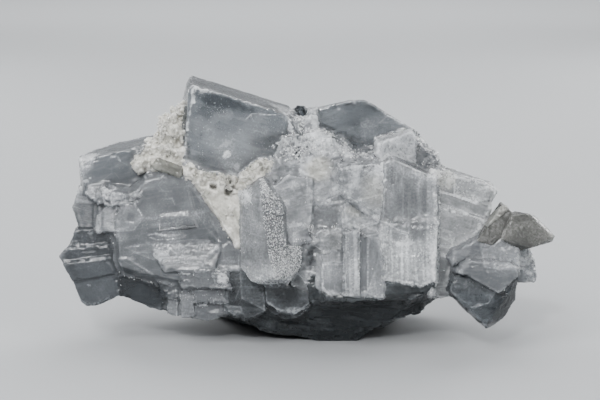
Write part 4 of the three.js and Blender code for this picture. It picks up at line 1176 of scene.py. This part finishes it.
def shoulder_relief(points, normals, proud):
    """The shoulder's skin: a smooth pale block at the left, a coarse grey pitted slope at the right. Its
    hollows are darkened with painted shade.
    """
    rise, tone = faceted(points, [
        (0.2, 0.14, 0.3, [(16.8, 46), (17, 50.2), (20, 51.6), (24.8, 53.6), (26, 51.2), (25.6, 46)]),
    ], 140)
    slope = ramp(seen(points)[:, 0], 25.8, 26.8)
    lumps = layered_noise(points, 1.6, 141, 4)
    shaded_hollow = slope * np.clip(5.0 * (0.42 - layered_noise(points, 1.2, 142)), 0, 1)
    rim = stroke(points, [(24.6, 53.6), (27, 52), (28.8, 49.6), (31, 48.4), (31.8, 45.4)], 0.4, 0.8)
    cool = blob(points, 28.8, 44.6, 2.2, 1.6, 20, 0.6, 0.8)
    shift = (1 - slope) * stepped(points, SHOULDER_AXES, (6, 6, 4), 0.2, 143) + slope * 1.2 * (lumps - 0.6)
    return dict(
        shift=shift + rise - 0.3 * shaded_hollow + chipped(points, proud, 1.0, 0.4, 144),
        frost=0.3 + tone + slope * (0.9 * lumps - 0.6) + 0.4 * rim,
        # painted shade in the slope's hollows
        shade=0.7 * shaded_hollow + 0.3 * slope + 0.2 * cool,
    )


shoulder = crystal(
    "shoulder", "right_shoulder", 0.23, frosted_barite, "frosted_barite", SHOULDER_AXES, shoulder_relief
)
# white grains fill the slope
slope = ramp(seen(shoulder.points)[:, 0], 25.6, 26.6)
clump = patchy(shoulder.points, 1.6, 145, 3.0, 1.1)
sprinkled("shoulder_grains", shoulder, 0.01 + slope * clump, 4.0, 146, 0.14, 0.5, (0.0, 0.8))

# ---------------------------------------------------------------------------------------------------
# The layered slab at the right: three cleaved layers that step forward as they go down. A smooth milky
# block is set in its top, whose edge is rough and bright.

SLAB_AXES = turned(6, 4, 17)


def slab_relief(points, normals, proud):
    """The slab's skin: smooth milky faces parted by bright sloping lines, and a bright torn edge."""
    rise, tone = faceted(points, [
        (0.3, 0.14, 0.3, [(35.2, 37.3), (35.2, 42.2), (42, 40.9), (45.4, 38.6), (44.2, 36.6), (40, 35.6)]),
        (0.1, -0.05, 0.3, [(30.6, 39), (35.2, 37.4), (43.6, 35.6), (43.4, 32), (40, 33), (31, 35.8)]),
        (0.3, 0.08, 0.3, [(31.8, 35.4), (38.5, 33), (42.6, 31.8), (40.6, 28.3), (37.8, 25), (31.6, 25.4)]),
        (0.3, 0.24, 0.1, [(29.8, 45), (32.0, 45), (31.7, 22), (31.4, 15.6), (29.8, 15.6)]),
        (0.1, -0.14, 0.2, [(31.6, 23), (34.9, 22.3), (34.8, 15.8), (31.4, 15.4)]),
        (0.0, -0.2, 0.3, [(31, 15.3), (36.4, 16), (35.2, 13.2), (32, 13)]),
    ], 150)
    lines = marks(points,
        (1, [(31, 38.5), (35, 37.5), (40.4, 35.5)], 0.28, 0.6), (1, [(33.4, 34.8), (38.6, 33)], 0.26, 0.6),
        (1, [(31.6, 25.2), (34, 24.9), (37.4, 25)], 0.35, 0.7),
    )
    border = stroke(points, [(44.4, 39.2), (45, 38), (44, 35.5), (43.2, 32.8)], 0.6, 0.8)
    crumbs = blob(points, 32.6, 41.0, 2.2, 2.4, 0, 1.0, 0.5)
    mottle = patchy(points, 1.8, 152, 2.5, 0.8)
    shift = worn(points, proud, SLAB_AXES, (6, 5, 3), 0.18, 153, 0.9, 0.7) + rise
    shift = shift + 0.5 * crumbs * (layered_noise(points, 1.0, 158) - 0.6)
    frost = 0.16 + tone + 0.35 * lines + 0.35 * border + 0.3 * crumbs * mottle + 0.14 * mottle
    fill = 0.9 * np.clip(-3.0 * normals[:, 0] - 1.0, 0, 1) * (points[:, 0] < 33.0)
    return dict(shift=shift, fill=fill, frost=frost, cream=0.2 * crumbs + 0.06)


slab = crystal("slab", "right_slab", 0.24, frosted_barite, "frosted_barite", SLAB_AXES, slab_relief)
# grains along its torn left edge and its rims
torn = 0.01 + 1.5 * np.clip(slab.proud - 0.1, 0, 0.4) + marks(slab.points,
    (0.9, 31.0, 30.0, 0.8, 14.0, 0, 0.9), (0.7, 32.4, 41.0, 2.0, 2.0, 0, 1.2),
    (0.5, 36, 39, 2.4, 1.0, -30, 1.3),
)
sprinkled("slab_grains", slab, torn, 3.0, 155, 0.12, 0.38, (0.4, 1.0))

# ---------------------------------------------------------------------------------------------------
# The far right end: beige blades with a bright broken ridge, the wavy stacked crystals below them with
# a drusy outer end, and the dark crystal that hangs lowest.

beige_barite = barite(
    "barite_beige_blades", "#4a4b49", "#9a9a96", "#32322f",
    haze=0.2, clarity=0.5, gloss=0.2, density=75.0,
)
BLADE_AXES = turned(10, 25, 32)


def blade_relief(points, normals, proud):
    """The blades' skin: smooth and mottled, with a bright ridge on the narrow blade."""
    rise, tone = faceted(points, [
        (0.15, 0.5, 0.05, [(42.2, 31), (45, 33.8), (47.2, 35.2), (48.2, 34.3), (46, 32.2), (43.2, 29.8)]),
        (0.0, 0.06, 0.02, [(50.6, 31), (55.6, 31.4), (59.6, 27.4), (55, 25.2), (51, 27)]),
    ], 160)
    tip = blob(points, 58.4, 27.4, 1.4, 0.8, -28, 0.5, 0.8)
    mottle = patchy(points, 2.6, 165, 2.5, 0.8)
    shift = 0.4 * (soft_noise(points, 6.0, 163) - 0.5) + chipped(points, proud, 0.9, 0.3, 164)
    return dict(shift=shift + rise, frost=0.1 + tone + 0.12 * mottle + 0.3 * tip)


crystal(
    "blades", "far_right_blade", 0.2, beige_barite, "beige_barite", BLADE_AXES, blade_relief, weld=0.1
)

WAVE_AXES = turned(-12, 12, 10)


def wave_relief(points, normals, proud):
    """The stacked crystals' skin: a pale wavy lobe above a smooth grey face, and a rough outer end."""
    rise, tone = faceted(points, [
        (0.1, 0.02, 0.06, [(34.4, 22.4), (39, 26.2), (41.6, 27), (45.2, 26), (41, 23.6), (38.5, 21.4)]),
        (0.4, 0.14, 0.1, [(41.2, 26.8), (48.2, 26.4), (50.8, 24.2), (52, 19.6), (46, 19.4), (42.6, 20.2)]),
        (0.1, -0.04, 0.06,
         [(37, 19.4), (38.4, 21.4), (42.6, 19.4), (52, 19), (50, 15.8), (47.2, 13), (40, 17.8)]),
        (-0.2, 0.0, 0.1, [(34.6, 19.8), (37, 21), (37.8, 19), (36.6, 17.6), (34.6, 17.4)]),
    ], 170)
    waves = marks(points,
        (1, [(37.5, 21), (40.2, 22.9), (41.3, 22.2), (42.9, 20.3), (46, 19.7), (48.6, 20.2)], 0.35, 0.6),
        (1, [(47.6, 26.4), (50.4, 24.8), (51.6, 22), (52.2, 19.4)], 0.4, 0.7),
    )
    lobe = blob(points, 46.6, 23.2, 4.6, 2.8, 0, 0.6, 0.6)
    outer = blob(points, 53.2, 21.0, 2.2, 4.2, 0, 0.5, 0.5)
    mottle = patchy(points, 1.3, 176, 2.5, 0.8)
    shift = worn(points, proud, WAVE_AXES, (5, 4, 2.5), 0.15, 173, 1.0, 0.5, 0.6) + rise
    shift = shift + (0.9 * outer + 0.5 * lobe) * (layered_noise(points, 1.4, 175) - 0.6)
    shift = shift + 0.9 * blob(points, 36.4, 21.5, 2.0, 3.2, 0, 0.6, 0.8)
    frost = 0.1 + tone + 0.1 * waves + 0.14 * lobe * mottle + outer * (0.5 * mottle + 0.1)
    fill = 0.8 * blob(points, 35.2, 20.4, 1.4, 1.6, 0, 0.4, 0.5)
    return dict(shift=shift, fill=fill, frost=frost, shade=0.2)


waves = crystal(
    "far_right", "far_right_crystals", 0.23, clouded_barite, "clear_barite", WAVE_AXES, wave_relief,
    rim=1.2, weld=0.6,
)
# druse on the outer end
outer = blob(waves.points, 53.4, 21.0, 2.0, 4.2, 0, 0.9, 0.5)
sprinkled("far_right_druse", waves, outer + 0.004, 3.0, 176, 0.15, 0.5, (0.0, 0.8))


def hanging_relief(points, normals, proud):
    """The lowest crystal's skin: a mottled grey face at the left and a darker one at the right."""
    rise, tone = faceted(points, [
        (0.1, 0.1, 0.2,
         [(34.6, 18.6), (40.5, 17.2), (45.5, 14.2), (44, 11.5), (40.4, 10), (37, 12.4), (34.6, 14.6)]),
        (0.0, -0.05, 0.2,
         [(44.4, 11.4), (47.3, 13.3), (51.6, 16), (51, 11.6), (49, 8.6), (45.6, 6.2), (43.8, 8.4)]),
        (0.1, 0.08, 0.1, [(39.4, 10.6), (43, 11.2), (45.7, 6.3), (44.5, 4.6)]),
    ], 180)
    darker = blob(points, 47.6, 11.0, 3.6, 3.0, 45, 0.3, 0.3)
    crumbs = marks(points,
        (1, [(39.8, 10.4), (41.8, 11.1), (43.6, 11.4)], 0.5, 0.9), (1, 51.0, 12.3, 0.5, 0.9),
    )
    speckle = patchy(points, 0.8, 181, 5.0, 3.0, 2)
    shift = worn(points, proud, WAVE_AXES, (4, 4, 3), 0.2, 183, 1.0, 0.5) + rise
    return dict(
        shift=shift, frost=tone + 0.12 * speckle + 0.25 * crumbs, shade=0.15 + 0.5 * darker,
    )


crystal("low_right", "lower_right_crystal", 0.24, smoky_barite, "smoky_barite", WAVE_AXES, hanging_relief)

# ---------------------------------------------------------------------------------------------------
# The underside: small glassy crystals with bright rims, and the broken dark heart of the cluster, which
# steps back in ledges down to the flat face that it all rests on. The heart's colours are darker than
# its barite: painted shade, for the shadow under the overhang.


def bottom_relief(points, normals, proud):
    """The small crystals' skin: dark and glassy in the middle, bright and chipped at the rims."""
    rise, tone = faceted(points, [
        (-0.2, 0.0, 0.2, [(-18.4, 19.6), (-15.4, 19.4), (-14.8, 16), (-16.4, 12), (-18.4, 12)]),
        (0.1, 0.14, 0.25, [(-15.2, 19.4), (-9.8, 16.6), (-9.4, 9.8), (-14.8, 12.6)]),
        (0.1, 0.06, 0.3,
         [(-9.3, 15.4), (2, 15.4), (2.6, 14.2), (0.6, 10.2), (-2.5, 8.6), (-6, 9.1), (-9, 12)]),
        (0.1, 0.12, 0.2, [(-19.4, 10.8), (-15, 10.6), (-14.4, 8.8), (-18, 7.8)]),
    ], 190)
    rims = marks(points,
        (1, [(-8.4, 11.4), (-5.6, 9.6), (-2.4, 9.2), (0.4, 10.6), (2.2, 13.8)], 0.5, 0.8),
        (0.8, -2.4, 9.9, 2.2, 0.6, 0, 1.1), (1, -4.9, 13.7, 0.25, 0.3),
    )
    middle = blob(points, -4.6, 13.2, 3.6, 1.8, 0, 0.6, 0.8)
    streaks = ribbed(points, (1, 0, 0.3), 0.6, 6.0, 191)
    shift = worn(points, proud, STEP_AXES, (3, 3, 2), 0.25, 193, 1.0, 0.4, 0.6) + rise
    fill = 0.9 * blob(points, -7.0, 16.2, 5.2, 0.9, 0, 0.3, 0.4) * np.clip(2.0 * normals[:, 2], 0, 1)
    return dict(
        shift=shift - 0.06 * streaks, fill=fill, frost=0.05 + tone + 0.35 * rims + 0.08 * streaks,
        shade=0.12 + 0.45 * middle,
    )


crystal("low_middle", "bottom_crystals", 0.24, smoky_barite, "smoky_barite", STEP_AXES, bottom_relief)

HEART_AXES = turned(12, -14, 6)
# painted shade: the heart's tones stand for barite in the shadow under the overhang
shaded_heart_barite = barite(
    "barite_broken_heart_painted_shade", "#353a3e", "#8c9194", "#1f2326",
    haze=0.25, clarity=0.6, gloss=0.2, density=80.0,
)


def heart_relief(points, normals, proud):
    """The heart's skin: broken ledges, paler above, and darker at its front with painted shade. The face
    that it rests on stays flat.
    """
    resting = np.clip(1.0 - points[:, 2] / 0.8, 0, 1)
    rise, tone = faceted(points, [
        (0.6, 0.1, 0.15, [(1, 16), (1.4, 10.2), (6, 10.9), (16, 11.2), (24.6, 12.3), (33, 13), (33, 18)]),
        (0.4, 0.04, 0.15, [(-20, 7), (-8, 6), (1, 8.8), (1, 4.4), (-12, 2)]),
    ], 200)
    shift = worn(points, proud, HEART_AXES, (7, 6, 2.6), 0.8, 203, 1.6, 0.5, 0.6)
    return dict(
        shift=(1.0 - resting) * (shift + rise), frost=tone + 0.12 * layered_noise(points, 3.0, 205),
        # painted shade on the front of the heart, under the overhang
        shade=0.3 * (points[:, 1] < 6.0),
    )


crystal("heart", "base_mass", 0.40, shaded_heart_barite, "smoky_barite", HEART_AXES, heart_relief)

# ---------------------------------------------------------------------------------------------------
# The back: stout plates of the same barite that lean on each other, cleaved in coarse steps.

BACK_AXES = turned(-16, 14, 8)


def back_relief(points, normals, proud):
    """The back's skin: coarse cleavage steps, broad veils and frosted rims."""
    fine = ribbed(points, BACK_AXES[:, 2], 1.0, 10.0, 211)
    shift = worn(points, proud, BACK_AXES, (10, 9, 6), 0.8, 213, 1.5, 0.7, 0.6) - 0.1 * fine
    facet = cleaved(points, BACK_AXES, (10, 9, 6), 213, 0.0)
    veils = patchy(points, 7.0, 215, 3.0, 1.65)
    return dict(shift=shift, frost=0.02 + 0.2 * facet + 0.3 * veils)


back = crystal("back", "back_crystals", 0.36, clear_barite, "clear_barite", BACK_AXES, back_relief)
# patches of druse on the plates
patches = patchy(back.points, 8.0, 216, 6.0, 3.72)
sprinkled("back_druse", back, 0.003 + patches, 2.4, 217, 0.2, 0.55, (0.0, 0.9))

# ---------------------------------------------------------------------------------------------------
# The joints: fine white grains lie along the lines where one crystal grew against another.

seats = []
for skin in skins:
    chance = np.random.default_rng(221).random(len(skin.points))
    clump = patchy(skin.points, 1.6, 222, 3.0, 1.2)
    along = 4.0 * skin.near * (1.0 - skin.near)
    # the bright broken seam between the tall block and the slab
    seam = blob(skin.points, 31.0, 31.0, 0.9, 16.0, 0, 0.9, 0.2)
    seam = seam * (skin.normals[:, 1] < 0.3) * (along > 0.2)
    seats.append(skin.points[chance < 0.05 * along * clump + 0.16 * seam])
seats = np.concatenate(seats)
seamed = blob(seats, 31.0, 31.0, 1.0, 16.0, 0, 0.0, 0.1)
sizes = np.random.default_rng(223).uniform(0.12, 0.34, len(seats)) * (1.0 + 0.8 * seamed)
grains("joint_grains", seats, sizes, druse_barite, "frosted_barite", 224, frost=(-0.2, 1.0))

# ---------------------------------------------------------------------------------------------------
# The studio: a plain pale paper floor that curves up all round like a shallow bowl, soft lamps, a dim
# pale sky and the camera.

middle = (np.array(cad_box[0]) + np.array(cad_box[1])) / 2.0
# the floor's flat part, the curve that lifts its edge, and how high it goes, in mm; its sides all round
FLOOR_RADIUS, CURVE, WALL_TOP = 2200.0, 400.0, 1300.0
AROUND = 72
arc = np.radians(np.linspace(0, 90, 10))
profile = np.concatenate([
    [[1.0, 0.0]],
    np.stack([FLOOR_RADIUS + CURVE * np.sin(arc), CURVE - CURVE * np.cos(arc)], axis=1),
    [[FLOOR_RADIUS + CURVE, WALL_TOP]],
])
angle = np.radians(np.arange(AROUND) * 360.0 / AROUND)
grid = np.array([[r * np.cos(a), r * np.sin(a), z] for r, z in profile for a in angle])
row, step = np.divmod(np.arange((len(profile) - 1) * AROUND), AROUND)
here, there = row * AROUND + step, row * AROUND + (step + 1) % AROUND
sweep_faces = np.stack([here, there, there + AROUND, here + AROUND], axis=1).tolist()
sweep_faces.append(list(range(AROUND))[::-1])
paper = bpy.data.materials.new("matte_pale_paper")
paper.use_nodes = True
paper.node_tree.nodes["Principled BSDF"].inputs["Base Color"].default_value = linear("#b0b2b4")
paper.node_tree.nodes["Principled BSDF"].inputs["Roughness"].default_value = 0.9
sweep = bpy.data.meshes.new("floor_sweep")
sweep.from_pydata((grid / 1000.0).tolist(), [], sweep_faces)
sweep.polygons.foreach_set("use_smooth", np.full(len(sweep_faces), True))
sweep.materials.append(paper)
floor = bpy.data.objects.new("floor_sweep", sweep)
bpy.context.scene.collection.objects.link(floor)


def softbox(name, place, width, watts, target=middle):
    """A square white lamp at a place in metres, aimed at the middle of the cluster or at another target."""
    lamp = bpy.data.lights.new(name, "AREA")
    lamp.size = width
    lamp.energy = watts
    holder = bpy.data.objects.new(name, lamp)
    holder.location = place
    aim = Vector(list(target)) - Vector(place)
    holder.rotation_euler = aim.to_track_quat("-Z", "Y").to_euler()
    bpy.context.scene.collection.objects.link(holder)


# place in metres, width in metres and power in watts
softbox("key_softbox", (-0.30, -0.50, 0.5), 0.35, 3.6)
softbox("fill_softbox", (0.55, -0.5, 0.35), 0.4, 1.9)
softbox("top_softbox", (0.1, 0.35, 0.7), 0.5, 1.1)
softbox("rear_left_softbox", (-0.55, 0.55, 0.30), 0.4, 2.8)
softbox("rear_right_softbox", (0.50, 0.60, 0.35), 0.4, 2.8)
softbox("ceiling_softbox", (0.0, 0.8, 1.9), 3.4, 30.0)
softbox("backdrop_softbox", (0.0, 1.2, 0.9), 1.0, 11.0, (0.0, 2.4, 0.0))
softbox("glint_lamp", (-0.10, -0.70, 0.45), 0.05, 2.2)

world = bpy.data.worlds.new("studio_air")
world.use_nodes = True
world.node_tree.nodes["Background"].inputs["Color"].default_value = linear("#e6e8ea")
world.node_tree.nodes["Background"].inputs["Strength"].default_value = 0.3
bpy.context.scene.world = world

# the camera is the eye of the marks: 400 mm away, and it looks 10 degrees down
DOWN = np.radians(10.0)
camera = bpy.data.objects.new("camera", bpy.data.cameras.new("camera"))
camera.data.lens = 100.0
camera.data.sensor_width = 36.0
camera.location = EYE / 1000.0
camera.rotation_euler = (np.pi / 2 - DOWN, 0.0, 0.0)
camera.data.clip_start = 0.01
bpy.context.scene.collection.objects.link(camera)
bpy.context.scene.camera = camera
bpy.context.scene.view_settings.look = "AgX - Medium High Contrast"
